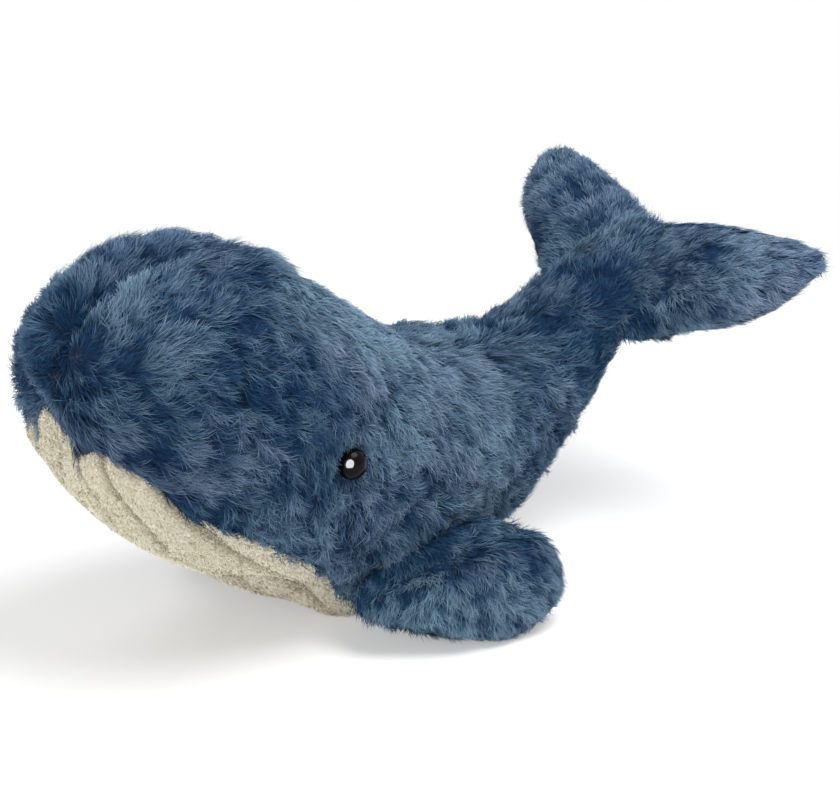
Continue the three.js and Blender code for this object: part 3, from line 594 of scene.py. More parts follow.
def pile_tree():
    """Grows strands from a skin's points, combed along its lie and drawn together into locks."""
    tree = bpy.data.node_groups.new("pile", "GeometryNodeTree")
    kinds = {"Geometry": "Geometry", "Strand": "Object", "Fur": "Material"}
    kinds.update(dict.fromkeys(fur_sizes, "Float"), Seed="Int")
    for name, kind in kinds.items():
        tree.interface.new_socket(name, in_out="INPUT", socket_type="NodeSocket" + kind)
    tree.interface.new_socket("Geometry", in_out="OUTPUT", socket_type="NodeSocketGeometry")
    skin = Wire.node(tree, "NodeGroupInput")
    place = Wire.node(tree, "GeometryNodeInputPosition")

    def read(name, kind="FLOAT"):
        return Wire.node(tree, "GeometryNodeInputNamedAttribute", {"data_type": kind}, {"Name": name})

    def store(geometry, name, value):
        kind = "FLOAT_VECTOR" if value.socket.type == "VECTOR" else "FLOAT"
        return Wire.node(tree, "GeometryNodeStoreNamedAttribute", {"data_type": kind, "domain": "POINT"},
                         {"Geometry": geometry, "Name": name, "Value": value})

    def chance(draw, lock=None):
        """Three numbers from -1 to 1 for each strand, or for each lock of strands."""
        inputs = {"Min": (-1.0,) * 3, "Max": (1.0,) * 3, "Seed": skin["Seed"] + draw}
        if lock is not None:
            inputs["ID"] = lock
        return Wire.node(tree, "FunctionNodeRandomValue", {"data_type": "FLOAT_VECTOR"}, inputs)

    def scatter(density, seed):
        return Wire.node(tree, "GeometryNodeDistributePointsOnFaces", {"distribute_method": "RANDOM"},
                         {"Mesh": skin, "Density": density, "Seed": seed})

    def nearest_lock(density, draw):
        """The nearest lock's number and the way to its middle."""
        middles = scatter(density, skin["Seed"] + draw)
        number = Wire.node(tree, "GeometryNodeSampleNearest", {"domain": "POINT"},
                           {"Geometry": middles, "Sample Position": place})
        middle = Wire.node(tree, "GeometryNodeSampleIndex", {"data_type": "FLOAT_VECTOR", "domain": "POINT"},
                           {"Geometry": middles, "Value": place, "Index": number})
        return number, middle - place

    def fades(number, full, none):
        """From 1 where the number is at full down to 0 where it is at none."""
        return Wire.node(tree, "ShaderNodeMapRange", {"interpolation_type": "SMOOTHSTEP"},
                         {"Value": number, "From Min": full, "From Max": none, "To Min": 1.0, "To Max": 0.0})

    # where strands stand, and which way they lie on the cloth
    roots = scatter(skin["Density"] * read("thick"), skin["Seed"])
    out = roots["Normal"]
    coarse, to_coarse = nearest_lock(skin["Locks"], 11)
    fine, to_fine = nearest_lock(skin["Locks"] * 7.0, 12)
    ruffle = read("ruffle")
    swirl = noise(place, 55.0, 1.0, "Color") - (0.5, 0.5, 0.5)
    wave = noise(place, 160.0, 1.0, "Color") - (0.5, 0.5, 0.5)
    flow = read("comb", "FLOAT_VECTOR") + (swirl + wave * 0.7) * (skin["Swirl"] * ruffle)
    flow = flow + chance(21, coarse) * skin["Lean"] + chance(22, fine) * (skin["Lean"] * 0.6)
    flow = flow + chance(23) * (skin["Stray"] * ruffle)
    level = (flow - out * flow.vectors("DOT_PRODUCT", out, output="Value")).vectors("NORMALIZE")

    # partings and hollows between the locks, where the strands are shorter and lower, and painted shade
    # darkens them
    strand_draw = chance(24).apart()
    coarse_draw = chance(25, coarse).apart()
    fine_draw = chance(26, fine).apart()
    patch = noise(place, 38.0, 2.0) - 0.5
    ridge = (noise(place, 75.0, 2.0) - 0.5).numbers("ABSOLUTE")
    parting = fades(ridge, 0.0, 0.06) * skin["Partings"] * ruffle
    hollow = fades(noise(place + (0.2, 0.9, 0.4), 85.0, 4.0, roughness=0.6), 0.37, 0.51) * skin["Partings"]
    hollow = hollow * (1.0 - patch * 3.0) * ruffle

    # which of the three dyes a strand has: 0, 1 or 2
    hue = (noise(place + (0.7, 0.3, 0.1), 28.0, 2.0) - 0.5) * 6.0 + 1.5 + chance(27).apart()["X"] * 0.9
    hue = Wire.node(tree, "ShaderNodeClamp", {}, {"Value": hue, "Min": 0.01, "Max": 2.99}).numbers("FLOOR")

    bend = chance(28)
    proud = bend.vectors("DOT_PRODUCT", out, output="Value")
    long_here = 1.0 + strand_draw["X"] * 0.10 + coarse_draw["X"] * 0.08
    tall_here = 1.0 + coarse_draw["Y"] * 0.20 + fine_draw["X"] * 0.15 + strand_draw["Y"] * 0.15
    mottle = coarse_draw["Z"] * 0.14 + fine_draw["Z"] * 0.32 + strand_draw["Y"] * 0.05 + patch
    field = roots
    for name, value in {
        "root": place,
        "lie": out,
        "level": level,
        "draw": to_coarse * 0.55 + to_fine * 0.75,
        "reach": read("long") * long_here * (1.0 - parting * 0.35) * (1.0 - hollow * 0.15),
        "rise": read("stand") * tall_here * (1.0 - parting * 0.4) * (1.0 - hollow * 0.45),
        "turn": strand_draw["Z"] * 0.8,
        # painted shade: the tone is darker in the partings and hollows, where shade falls between the locks
        "tone": read("shade") + mottle * skin["Mottle"] + 0.07 - parting * 0.40 - hollow * 0.41,
        "hue": hue,
        "curl": bend - out * (proud + 0.25),
    }.items():
        field = store(field, name, value)
    strand = Wire.node(tree, "GeometryNodeObjectInfo", {"transform_space": "ORIGINAL"},
                       {"Object": skin["Strand"]}, "Geometry")
    grown = Wire.node(tree, "GeometryNodeInstanceOnPoints", {}, {"Points": field, "Instance": strand})
    grown = Wire.node(tree, "GeometryNodeRealizeInstances", {}, {"Geometry": grown})

    # how far along and aside in its strand a corner is, with the strand's dye and tone, for its colour
    local = (place - read("root", "FLOAT_VECTOR")).apart()
    along, aside = local["Z"], local["X"]
    tone = Wire.node(tree, "ShaderNodeClamp", {}, {"Value": read("tone"), "Min": 0.03, "Max": 0.97})
    woven = Wire.node(tree, "ShaderNodeCombineXYZ", {},
                      {"X": (read("hue") + tone + aside * 0.012) * (1 / 3), "Y": along * 0.96 + 0.02})
    grown = Wire.node(tree, "GeometryNodeStoreNamedAttribute", {"data_type": "FLOAT2", "domain": "CORNER"},
                      {"Geometry": grown, "Name": "OFBake", "Value": woven})

    # a strand rises from its root, bends over along the lie, and its tip is drawn to its lock's middle
    out, flat = read("lie", "FLOAT_VECTOR"), read("level", "FLOAT_VECTOR")
    rise, reach = read("rise") * skin["Lift"], read("reach") * skin["Length"]
    height = rise * (along * 1.35 - along * along * 0.62)
    forward = along * (1.0 - rise * 0.5) + along * along * (rise * 0.28)
    over = flat.vectors("CROSS_PRODUCT", out)
    side = (over + out * read("turn")).vectors("NORMALIZE")
    spot = read("root", "FLOAT_VECTOR") + flat * (forward * reach) + out * (height * reach)
    gathered = read("draw", "FLOAT_VECTOR") * (along ** 1.3 * skin["Gather"])
    spot = spot + gathered + side * (aside * skin["Width"])
    curl = read("curl", "FLOAT_VECTOR")
    sway = curl.apart()["Y"] * along * (1.0 - along) * reach * skin["Curl"] * 1.6
    spot = (spot + curl * (along * along * reach * skin["Curl"]) + over * sway).apart()
    above_table = spot["Z"].numbers("MAXIMUM", 0.0004)
    spot = Wire.node(tree, "ShaderNodeCombineXYZ", {}, {"X": spot["X"], "Y": spot["Y"], "Z": above_table})
    grown = Wire.node(tree, "GeometryNodeSetPosition", {}, {"Geometry": grown, "Position": spot})
    grown = Wire.node(tree, "GeometryNodeSetMaterial", {}, {"Geometry": grown, "Material": skin["Fur"]})
    Wire.node(tree, "NodeGroupOutput", {}, {"Geometry": grown})
    return tree


pile = pile_tree()


def strand_of(name, widths):
    """One strand as a tapering ribbon, from its root to its tip."""
    steps = len(widths)
    points = [(side * width, 0, k / steps) for k, width in enumerate(widths) for side in (-1, 1)]
    points.append((0, 0, 1))
    faces = [(2 * k, 2 * k + 1, 2 * k + 3, 2 * k + 2) for k in range(steps - 1)]
    faces.append((2 * steps - 2, 2 * steps - 1, 2 * steps))
    return new_piece(name, np.array(points) * 1000, faces)


long_strand = strand_of("long_strand", (1.0, 0.95, 0.7))


def grow(skin, name, thick, strand, material, seed, **sizes):
    """Grows the pile where thick says, as a plain mesh of its own."""
    keep(skin, "thick", thick * (values_of(skin, "bare") if "bare" in skin.data.attributes else 1))
    modifier = skin.modifiers.new("pile", "NODES")
    modifier.node_group = pile
    inputs = {"Strand": strand, "Fur": material, "Seed": seed, **sizes}
    for item in pile.interface.items_tree:
        if item.in_out == "INPUT" and item.name in inputs:
            modifier[item.identifier] = inputs[item.name]
    skin.data.update()
    skin.update_tag()
    bpy.context.view_layer.update()
    graph = bpy.context.evaluated_depsgraph_get()
    mesh = bpy.data.meshes.new_from_object(skin.evaluated_get(graph))
    skin.modifiers.remove(modifier)
    mesh.name = name
    for used in ("root", "lie", "level", "draw", "reach", "rise", "turn", "tone", "hue", "curl"):
        if used in mesh.attributes:
            mesh.attributes.remove(mesh.attributes[used])
    mesh.shade_smooth()
    fur = bpy.data.objects.new(name, mesh)
    bpy.context.collection.objects.link(fur)
    return fur


def mixed(share, low, high, kind="MIX"):
    """One colour mixed with another."""
    return Wire.node(low.tree, "ShaderNodeMix", {"data_type": "RGBA", "blend_type": kind},
                     {6: low, 7: high, 0: share}, 2)


def fur_material(name, dark, pale, dyes):
    """Fur from a dark root, where painted shade stands for the shade deep in the pile, to a pale tip; a
    strand's tone, which carries painted light and shade, picks how dark it is, and one of three dyes.
    """
    material, tree = new_material(name)
    woven = Wire.node(tree, "ShaderNodeUVMap", {"uv_map": "OFBake"}).apart()
    tone = (woven["X"] * 3.0).numbers("FRACT")
    colour = mixed(tone, woven["Y"].ramp(dark), woven["Y"].ramp(pale))
    colour = mixed(1.0, colour, woven["X"].ramp(dyes, steps=True), "MULTIPLY")
    finish_surface(tree, {"Base Color": colour, "Roughness": 0.75, "Specular IOR Level": 0.12})
    return material


# from root to tip, each set darkens towards the root with painted shade, where shade falls deep in the pile
blue_fur = fur_material(
    "blue_fur",
    [(0.0, (0.000, 0.005, 0.022)), (0.35, (0.001, 0.015, 0.050)), (0.75, (0.003, 0.033, 0.092)),
     (1.0, (0.009, 0.058, 0.140))],
    [(0.0, (0.010, 0.035, 0.071)), (0.35, (0.062, 0.128, 0.212)), (0.75, (0.190, 0.288, 0.392)),
     (1.0, (0.305, 0.398, 0.485))],
    [(0.0, (0.95, 1.02, 0.98)), (0.3333, (1.0, 1.0, 1.0)), (0.6667, (1.09, 0.99, 1.03))],
)
blue_cloth, tree = new_material("blue_cloth")
patches = noise(object_place(tree), 900.0, 3.0)
weave = patches.ramp([(0.3, (0.003, 0.010, 0.028)), (0.7, (0.010, 0.028, 0.065))])
knitted = Wire.node(tree, "ShaderNodeBump", {}, {"Strength": 0.5, "Distance": 0.0004, "Height": patches})
finish_surface(tree, {"Base Color": weave, "Roughness": 0.9, "Normal": knitted})

# how pale the fur is: 0.43, and more or less round these places, in mm, as far as their reach; these are
# painted light and painted shade, paler where light falls and darker where shade falls
plain_shade = 0.43
painted_light_and_shade = [
    # the neck and the flank, paler with painted light where the light falls, and darker with painted shade
    # towards the tail
    ((18, -58, 138), 26, 0.42), ((25, -38, 122), 32, 0.62), ((38, -10, 96), 30, 0.26),
    ((50, 20, 66), 26, 0.20), ((57, -40, 75), 16, 0.18), ((30, 60, 70), 28, -0.14),
    ((20, 92, 95), 26, -0.40), ((40, -62, 20), 15, 0.34),
    # the head, darker with painted shade on its side, the brow, the far lobe, the nose and the hollow over
    # the fin, and paler with painted light on the near lobe's crown
    ((14, -140, 149), 11, 0.24), ((-25, -150, 132), 24, -0.14), ((11, -163, 121), 8, -0.30),
    ((60, -85, 84), 26, -0.20), ((48, -128, 110), 32, -0.24), ((50, -105, 135), 24, -0.16),
    ((33, -84, 146), 17, -0.22), ((56, -72, 112), 14, -0.20), ((58, -78, 111), 15, -0.20),
    ((55, -30, 40), 14, -0.20),
    # the near fluke, paler with painted light
    ((58, 140, 110), 30, 0.24), ((62, 128, 100), 18, 0.16),
]


def shade_at(spots):
    """How pale the fur is at each spot, with painted light and painted shade round the listed places, and
    painted shade in the creases and down the middle of the nose.
    """
    tone = np.full(len(spots), plain_shade)
    for place, reach, amount in painted_light_and_shade:
        tone += amount * fading(spots, place, reach)
    for path, reach, depth, crease_shade in creases:
        tone -= dent(spots, path, reach, crease_shade)
    on_nose = (spots[:, 1] < -95) & (spots[:, 2] > 112)
    return tone - 0.22 * np.exp(-(((spots[:, 0] + 4) / 6) ** 2)) * on_nose


# where the fur is more ruffled, or with less than 0 smoother, than elsewhere: place, reach and how much
ruffles = [
    ((50, -115, 122), 26, 0.5), ((14, -163, 122), 14, 1.0), ((26, -42, 124), 34, -0.7),
    ((45, 0, 85), 30, -0.4), ((50, -75, 80), 20, -0.2),
]
eye_hole = np.array([56.2, -66.9, 81.6])  # mm, where the left eye comes through the cloth
eye_hole_radius = 6.1


def prepare(skin, guides=comb_guides, mirror=True, length=1.0, stand=1.0, flat_way=None, reach=20):
    """Combs a skin and gives it even fur, shorter along the rim of a flat one and paler there with painted
    light, and darker with painted shade along the crown's seam.
    """
    spots, normals = points_of(skin), normals_of(skin)
    rim = np.zeros(len(spots)) if flat_way is None else (1 - np.abs(normals @ np.array(flat_way))) ** 1.5
    lie = comb(spots, normals, guides, mirror, reach)
    away = folded(spots) - eye_hole
    gap = np.linalg.norm(away, axis=1)
    away[:, 0] *= np.sign(spots[:, 0])
    lie = lie + away / np.maximum(gap, 1e-6)[:, None] * (1.7 * np.exp(-((gap / 8.5) ** 4)))[:, None]
    keep(skin, "comb", along_surface(lie, normals))
    crown = np.exp(-((spots[:, 0] / 4.5) ** 2)) * (spots[:, 2] > 100) * (spots[:, 1] < -50)
    at_eye = np.exp(-((gap / 10) ** 4))
    keep(skin, "long", length * (1 - 0.28 * rim) * (1 - 0.5 * crown - 0.35 * at_eye))
    keep(skin, "stand", stand * (1 - 0.45 * rim) * (1 - 0.4 * at_eye))
    # painted shade darkens the fur along the crown's seam, and painted light makes it paler along the rim of
    # a flat piece
    keep(skin, "shade", shade_at(spots) - 0.4 * crown + 0.26 * rim)
    keep(skin, "bare", 1 / (1 + np.exp((eye_hole_radius - gap) / 0.35)))
    ruffled = np.ones(len(spots))
    for place, spread, amount in ruffles:
        ruffled += amount * fading(folded(spots), place, spread)
    keep(skin, "ruffle", ruffled)
    return spots, normals


def on_side(spots, mark):
    """Which spots lie on the left, or with mark -1 on the right; the middle counts as left."""
    return spots[:, 0] >= 0 if mark > 0 else spots[:, 0] <= -1e-6


def bend_with_tail(piece):
    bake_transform(piece)


def swing_with_stock(piece):
    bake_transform(piece)


spots, normals = prepare(body_skin_front)
ahead_of_split = values_of(body_skin_front, "station") < split_share
body_skin_front.data.materials.append(blue_cloth)
over_mouth = np.clip((above_mouth(spots + normals * pile_depth) + 0.5) / 1.5, 0, 1)
bands = [-175, -112, -64, -14, 90]  # mm, which keep each piece of fur a fair size
for number, (low, high) in enumerate(zip(bands[:-1], bands[1:]), 1):
    for side, mark in sides:
        inside = ahead_of_split & (spots[:, 1] >= low) & (spots[:, 1] < high) & on_side(spots, mark)
        name = f"{side}_body_fur_{number}"
        fur = grow(body_skin_front, name, inside * over_mouth, long_strand, blue_fur, 3, **fur_sizes)
        bend_with_tail(fur)
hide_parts("left_side_cover", "right_side_cover", "body_stuffing", "pellet_bag")
bend_with_tail(body_skin_front)


# The throat
# A cream panel of short-pile plush from the chin to under the tail's root, sewn below the mouth's
# edge with three pleats on each side, which run back under the belly.

rows, columns = 130, 105
chin_share, rear_share = 0.0015, 0.668
share = chin_share + (rear_share - chin_share) * np.linspace(0, 1, rows) ** 1.3
trial = np.radians(np.linspace(-90, 80, 681))
lying = above_mouth(body_form(share[:, None], trial[None, :])) < 0
last = np.array([np.argmin(row) if not row.all() else len(row) - 1 for row in lying])
opening = trial[np.maximum(last, 0)] + math.pi / 2
wide_enough = opening > math.radians(2)
share, opening = share[wide_enough], opening[wide_enough]
crowding = math.pi / 2 * 0.9  # columns lie closer at the panel's sides
side_share = np.sin(np.linspace(-1, 1, columns) * crowding) / math.sin(crowding)
angle = -math.pi / 2 + opening[:, None] * side_share[None, :]
outer = body_form(np.repeat(share[:, None], columns, 1), angle)
count = len(share)


def sheet_faces(start, turned):
    """The faces of the panel's front or, turned round, of its rear."""
    faces = []
    for i in range(count - 1):
        for k in range(columns - 1):
            a = start + i * columns + k
            quad = (a, a + 1, a + columns + 1, a + columns)
            faces.append(quad[::-1] if turned else quad)
    return faces


draft = new_piece("throat_draft", outer.reshape(-1, 3), sheet_faces(0, False))
facing = normals_of(draft).reshape(count, columns, 3)
bpy.data.objects.remove(draft)
facing = facing * -np.sign(facing[count // 2, columns // 2, 2])
panel_depth, panel_thickness = 1.3, 3.5  # mm, from the form's outside
front_clearance, rear_clearance = 0.3, 2.0  # mm, above the table
hem_depth, hem_reach = 2.6, 3.0  # mm, where the panel is pulled in at its sewn border
usual_width, usual_length, front_margin = 45, 200, 1.5  # mm, for a rough distance to the border
border = np.minimum.reduce([
    np.repeat((1 - np.abs(side_share))[None, :], count, 0) * opening[:, None] * usual_width,
    np.repeat(np.linspace(0, 1, count)[:, None], columns, 1) * usual_length + front_margin,
])
pleat_places = (11.5, 24.5, 40.0)  # mm, from the middle
pleat_depth, pleat_reach = 4.2, 1.6  # mm
pleat_end, pleat_fading = 0.46, 0.12  # shares of the length
dip_depth, dip_start, dip_length = 3.6, 0.59, 0.078  # mm, then shares of the length, at the rear end
crease = np.zeros((count, columns))
along = (outer[..., 1] - nose_along) / body_length
for offset in pleat_places:
    gap = (np.abs(outer[..., 0]) - offset) / pleat_reach
    crease += pleat_depth * np.exp(-(gap**2)) * np.clip((pleat_end - along) / pleat_fading, 0, 1)
hem = hem_depth * np.exp(-((border / hem_reach) ** 2))
rear_dip = dip_depth * np.clip((share[:, None] - dip_start) / dip_length, 0, 1) ** 2
sunk = panel_depth + hem + crease + rear_dip
settled = settle(outer.reshape(-1, 3), body_moves).reshape(outer.shape)
front = settled - facing * sunk[..., None]
front[..., 2] = np.maximum(front[..., 2], front_clearance)
rear = settled - facing * (sunk + panel_thickness)[..., None]
rear[..., 2] = np.maximum(rear[..., 2], rear_clearance)
points = np.vstack([front.reshape(-1, 3), rear.reshape(-1, 3)])
size = count * columns
faces = sheet_faces(0, False) + sheet_faces(size, True)
numbers = np.arange(size).reshape(count, columns)
rim = [*numbers[0], *numbers[1:, -1], *numbers[-1, -2::-1], *numbers[-2:0:-1, 0]]
rim = [int(k) for k in rim]
for a, b in zip(rim, rim[1:] + rim[:1]):
    faces.append((b, a, a + size, b + size))

throat = new_piece("throat_panel_plush", points, outward(points, faces))
cream_cloth, tree = new_material("cream_cloth")
spot = object_place(tree)
pebbles = Wire.node(tree, "ShaderNodeTexVoronoi", {"voronoi_dimensions": "3D", "feature": "SMOOTH_F1"},
                    {"Vector": spot, "Scale": 620.0, "Smoothness": 0.6}, "Distance")
cloudy = noise(spot, 60.0, 4.0)
tuft = (pebbles + (cloudy - 0.5) * 0.35).ramp([(0.2, (0.80, 0.75, 0.63)), (0.75, (0.62, 0.57, 0.44))])
raised = Wire.node(tree, "ShaderNodeBump", {"invert": True},
                   {"Strength": 0.6, "Distance": 0.0008, "Height": pebbles})
finish_surface(tree, {"Base Color": tuft, "Roughness": 0.9, "Normal": raised})
throat.data.materials.append(cream_cloth)
# from root to tip, each set darkens towards the root with painted shade, where shade falls deep in the pile
cream_fur = fur_material(
    "cream_pile",
    [(0.0, (0.26, 0.23, 0.15)), (0.5, (0.46, 0.41, 0.29)), (1.0, (0.58, 0.53, 0.40))],
    [(0.0, (0.66, 0.61, 0.48)), (0.5, (0.80, 0.76, 0.65)), (1.0, (0.88, 0.85, 0.76))],
    [(0.0, (0.97, 0.99, 0.95)), (0.3333, (1.0, 1.0, 1.0)), (0.6667, (1.0, 0.98, 0.97))],
)
short_strand = strand_of("short_strand", (1.0, 0.9))
short_sizes = {
    "Density": 4.0e6, "Length": 0.0013, "Width": 0.00016, "Locks": 260000.0, "Gather": 0.5, "Lift": 1.2,
    "Lean": 0.9, "Stray": 0.9, "Swirl": 1.5, "Curl": 0.3, "Partings": 0.0, "Mottle": 0.32,
}
spots, normals = points_of(throat), normals_of(throat)
pleated = np.append(crease, crease)
keep(throat, "comb", comb(spots, normals, comb_guides[:1] * 0))
keep(throat, "long", 1 - 0.12 * pleated)
keep(throat, "stand", np.ones(len(spots)))
keep(throat, "ruffle", np.ones(len(spots)))
# painted shade: the pile is darker in the pleats, where shade falls in the grooves
keep(throat, "shade", 0.60 - 0.30 * pleated)
on_front = np.arange(len(spots)) < size
for side, mark in sides:
    inside = on_front & on_side(spots, mark)
    fur = grow(throat, f"{side}_throat_pile", inside * 1.0, short_strand, cream_fur, 5, **short_sizes)
    bend_with_tail(fur)
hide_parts("throat_panel")
bend_with_tail(throat)


# The tail and its stock
# The side panels run on into the tail, which climbs and narrows to the stock that carries the
# flukes. The same long-pile plush.

tail_skin = body_skin("tail_skin", split_share - split_overlap, 1, 70, True, False)
station = values_of(tail_skin, "station")
behind_split = np.clip((station - split_share) / 0.004, 0, 1)
move_out(tail_skin, -pile_depth - 0.5 * (1 - behind_split), cut_start=True)
spots, normals = prepare(tail_skin, length=0.9)
tail_skin.data.materials.append(blue_cloth)
for side, mark in sides:
    inside = (station >= split_share) & on_side(spots, mark)
    fur = grow(tail_skin, f"{side}_tail_fur", inside * 1.0, long_strand, blue_fur, 7, **fur_sizes)
    swing_with_stock(fur)
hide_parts("left_tail_cover", "right_tail_cover", "tail_stuffing",
            "left_stock_cover", "right_stock_cover", "stock_stuffing")
swing_with_stock(tail_skin)


# The flukes
# A stuffed pair of lobes that reach out and back from the stock, each of an upper and a lower
# panel of the same plush.

fluke_reach, fluke_chord, fluke_thickness = 85, 78, 14  # mm; the thickness is half of the whole
fluke_climb = 27  # degrees
fluke_curl = 5.5  # mm, how far the tip curls up
fluke_middle = (0, 94.49, 76.96)  # mm, where the two meet

# shares of the sizes above: how far out, where the front and back edges lie, and how thick it is
fluke_shares = [
    (0, 0.02, 0.72, 0.85), (0.12, 0.03, 0.77, 0.75), (0.25, 0.08, 0.85, 0.72), (0.42, 0.19, 0.94, 0.95),
    (0.62, 0.34, 1, 1), (0.8, 0.51, 1.03, 0.86), (0.93, 0.69, 1.01, 0.58), (1, 0.86, 0.86, 0),
]
fluke_edges = smooth_line(fluke_shares, (0, 1, 2), (fluke_reach, fluke_chord, fluke_chord))
fluke_girth = smooth_line(fluke_shares, (3, 3, 3), (fluke_thickness, 0, 0))


def turned_about_x(points, degrees):
    """Points turned about the line across the whale."""
    c, s = math.cos(math.radians(degrees)), math.sin(math.radians(degrees))
    x, y, z = points[..., 0], points[..., 1], points[..., 2]
    return np.stack([x, y * c - z * s, y * s + z * c], -1)


def lobe_along(edge, angle, inset):
    """How far along a lobe's outline is, inset from its front and back edges."""
    half = (edge[..., 2] - edge[..., 1]) / 2
    middle = (edge[..., 1] + edge[..., 2]) / 2
    return middle + np.maximum(half - inset, 0.4 * half) * signed_power(np.cos(angle), fullness)


def fluke_form(share, angle, inset):
    """A fluke's surface, inset mm inside the sewn form; it starts beyond the middle."""
    edge, thick = fluke_edges(share), fluke_girth(share)[..., 0]
    along = lobe_along(edge, angle, inset)
    out = edge[..., 0] - 5 * np.maximum(1 - share / 0.1, 0) - inset * share**4
    height = np.maximum(thick - inset, 0.4 * thick) * np.sin(angle) + fluke_curl * share**3
    return turned_about_x(np.stack([out + along * 0, along, height], -1), fluke_climb) + fluke_middle


fluke_guides = np.array([
    # the middle, over the seam of the two side panels
    (0, 136, 107, 0.0, 0.9, 0.3), (0, 122, 102, 0.0, 0.9, 0.3),
    # the near fluke
    (27, 108, 94, 1.0, 0.0, -0.1), (25, 102, 82, 0.5, 0.2, -0.8), (19, 143, 109, 0.9, 0.4, 0.2),
    (22, 138, 111, 0.4, 0.8, 0.2), (39, 124, 106, 1.0, -0.1, -0.1), (45, 113, 94, 0.3, 0.2, -0.9),
    (40, 149, 116, 0.5, 0.8, 0.2), (50, 140, 113, 0.8, 0.5, 0.1), (57, 138, 114, 0.9, 0.4, 0.1),
    (60, 154, 119, 0.6, 0.8, 0.2), (63, 128, 104, 0.8, 0.1, -0.6), (74, 149, 115, 0.8, 0.6, 0.0),
    (74, 138, 107, 0.8, 0.4, -0.5),
    # the far fluke
    (-27, 114, 99, -1.0, -0.2, 0.0), (-40, 143, 115, -0.6, 0.7, 0.3), (-49, 124, 106, -1.0, 0.0, 0.0),
    (-65, 150, 117, -0.8, 0.5, 0.1), (-69, 139, 112, -0.9, 0.5, -0.2),
])
# how each fluke has settled: a place, then how far it has moved, in whole mm
fluke_moves = {
    "left": [
        (12, 131, 106, -2, 4, 8), (29, 135, 110, -1, 2, 9), (41, 147, 115, 0, 0, 1),
        (55, 147, 117, 0, 1, 1), (75, 154, 117, -1, -2, -2), (77, 140, 104, -1, 0, 2),
        (65, 127, 95, 2, 0, -4), (49, 116, 90, 0, 0, 0), (31, 105, 85, 1, -1, -4),
    ],
    "right": [
        (-16, 147, 108, 0, 2, 3), (-29, 150, 112, 0, 1, 1), (-42, 153, 115, 2, 1, -1),
        (-66, 151, 118, -3, -1, 5), (-38, 113, 97, 0, 1, 0), (-50, 121, 104, 2, 3, 0),
        (-59, 131, 109, -3, -4, 1),
    ],
}
fluke_flat_way = (0, -math.sin(math.radians(fluke_climb)), math.cos(math.radians(fluke_climb)))
lobe_reach = 18  # mm, how far round its place a lobe's cloth follows each move
angle = -np.linspace(0, 2 * np.pi, 73)[:-1]
share = (1 - (1 - np.linspace(0, 1, 60)[:-1]) ** 1.7)[:, None]  # out along a lobe, closer at its tip
fluke_inset, tip_inset = 3.6, 4.8  # mm, from the sewn form down to the cloth
inset = fluke_inset + 1.2 * np.clip((share - 0.6) / 0.4, 0, 1)
for side, mark in sides:
    points, faces = tube(fluke_form(share, angle, inset), None, fluke_form(1.0, 0.0, tip_inset))
    points = settle(points * (mark, 1, 1), fluke_moves[side], lobe_reach)
    skin = new_piece(f"{side}_fluke_skin", points, outward(points, faces))
    spots, normals = prepare(skin, fluke_guides, mirror=False, length=0.78, stand=0.65,
                             flat_way=fluke_flat_way)
    skin.data.materials.append(blue_cloth)
    inside = spots[:, 0] * mark > -1.5
    fur = grow(skin, f"{side}_fluke_fur", inside * 1.0, long_strand, blue_fur, 13, **fur_sizes)
    for piece in (skin, fur):
        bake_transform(piece)
    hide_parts(f"{side}_fluke_upper_cover", f"{side}_fluke_lower_cover", f"{side}_fluke_stuffing")


# The fins
# A flat stuffed fin on each side, sewn to the body along a slanting seam low on the flank and
# lying on the table, of an upper and a lower panel of the same plush.

fin_reach, fin_chord, fin_thickness, fin_drop = 36, 84, 17, 16.6  # mm; the thickness is half of the whole
fin_root = (48.98, -29.54, 29.95)  # mm, the middle of the seam
fin_root_along = 29  # mm, from the fin's front corner back to the middle of the seam
fin_climb, fin_sweep = 14, 8  # degrees

# shares of the sizes above: how far out, where its edges lie, how thick it is, and how far it hangs
fin_shares = [
    (0, 0, 0.69, 0.26, 0), (0.1, -0.02, 0.74, 0.28, 0.12), (0.22, -0.03, 0.85, 0.46, 0.45),
    (0.38, 0, 0.94, 0.86, 0.66), (0.57, 0.07, 0.97, 1.04, 0.8), (0.77, 0.18, 0.93, 0.92, 0.95),
    (0.93, 0.34, 0.82, 0.62, 1.05), (1, 0.57, 0.57, 0, 1.1),
]
fin_edges = smooth_line(fin_shares, (0, 1, 2), (fin_reach, fin_chord, fin_chord))
fin_girth = smooth_line(fin_shares, (3, 4, 4), (fin_thickness, fin_drop, 0))


def fin_form(share, angle, inset):
    """A fin's surface, inset mm inside the sewn form."""
    edge, girth = fin_edges(share), fin_girth(share)
    thick = girth[..., 0]
    along = lobe_along(edge, angle, inset) - fin_root_along
    levelling = math.tan(math.radians(fin_climb)) * np.minimum(share / 0.6, 1)
    plump = np.maximum(thick - inset * np.clip((share - 0.15) / 0.25, 0, 1), 0.4 * thick)
    height = plump * np.sin(angle) - girth[..., 1] - along * levelling
    out = edge[..., 0] - inset * share**4 + along * 0
    points = turned_about_x(np.stack([out, along, height], -1), fin_climb)
    c, s = math.cos(math.radians(-fin_sweep)), math.sin(math.radians(-fin_sweep))
    x, y, z = points[..., 0], points[..., 1], points[..., 2]
    return np.stack([x * c - y * s, x * s + y * c, z], -1) + fin_root


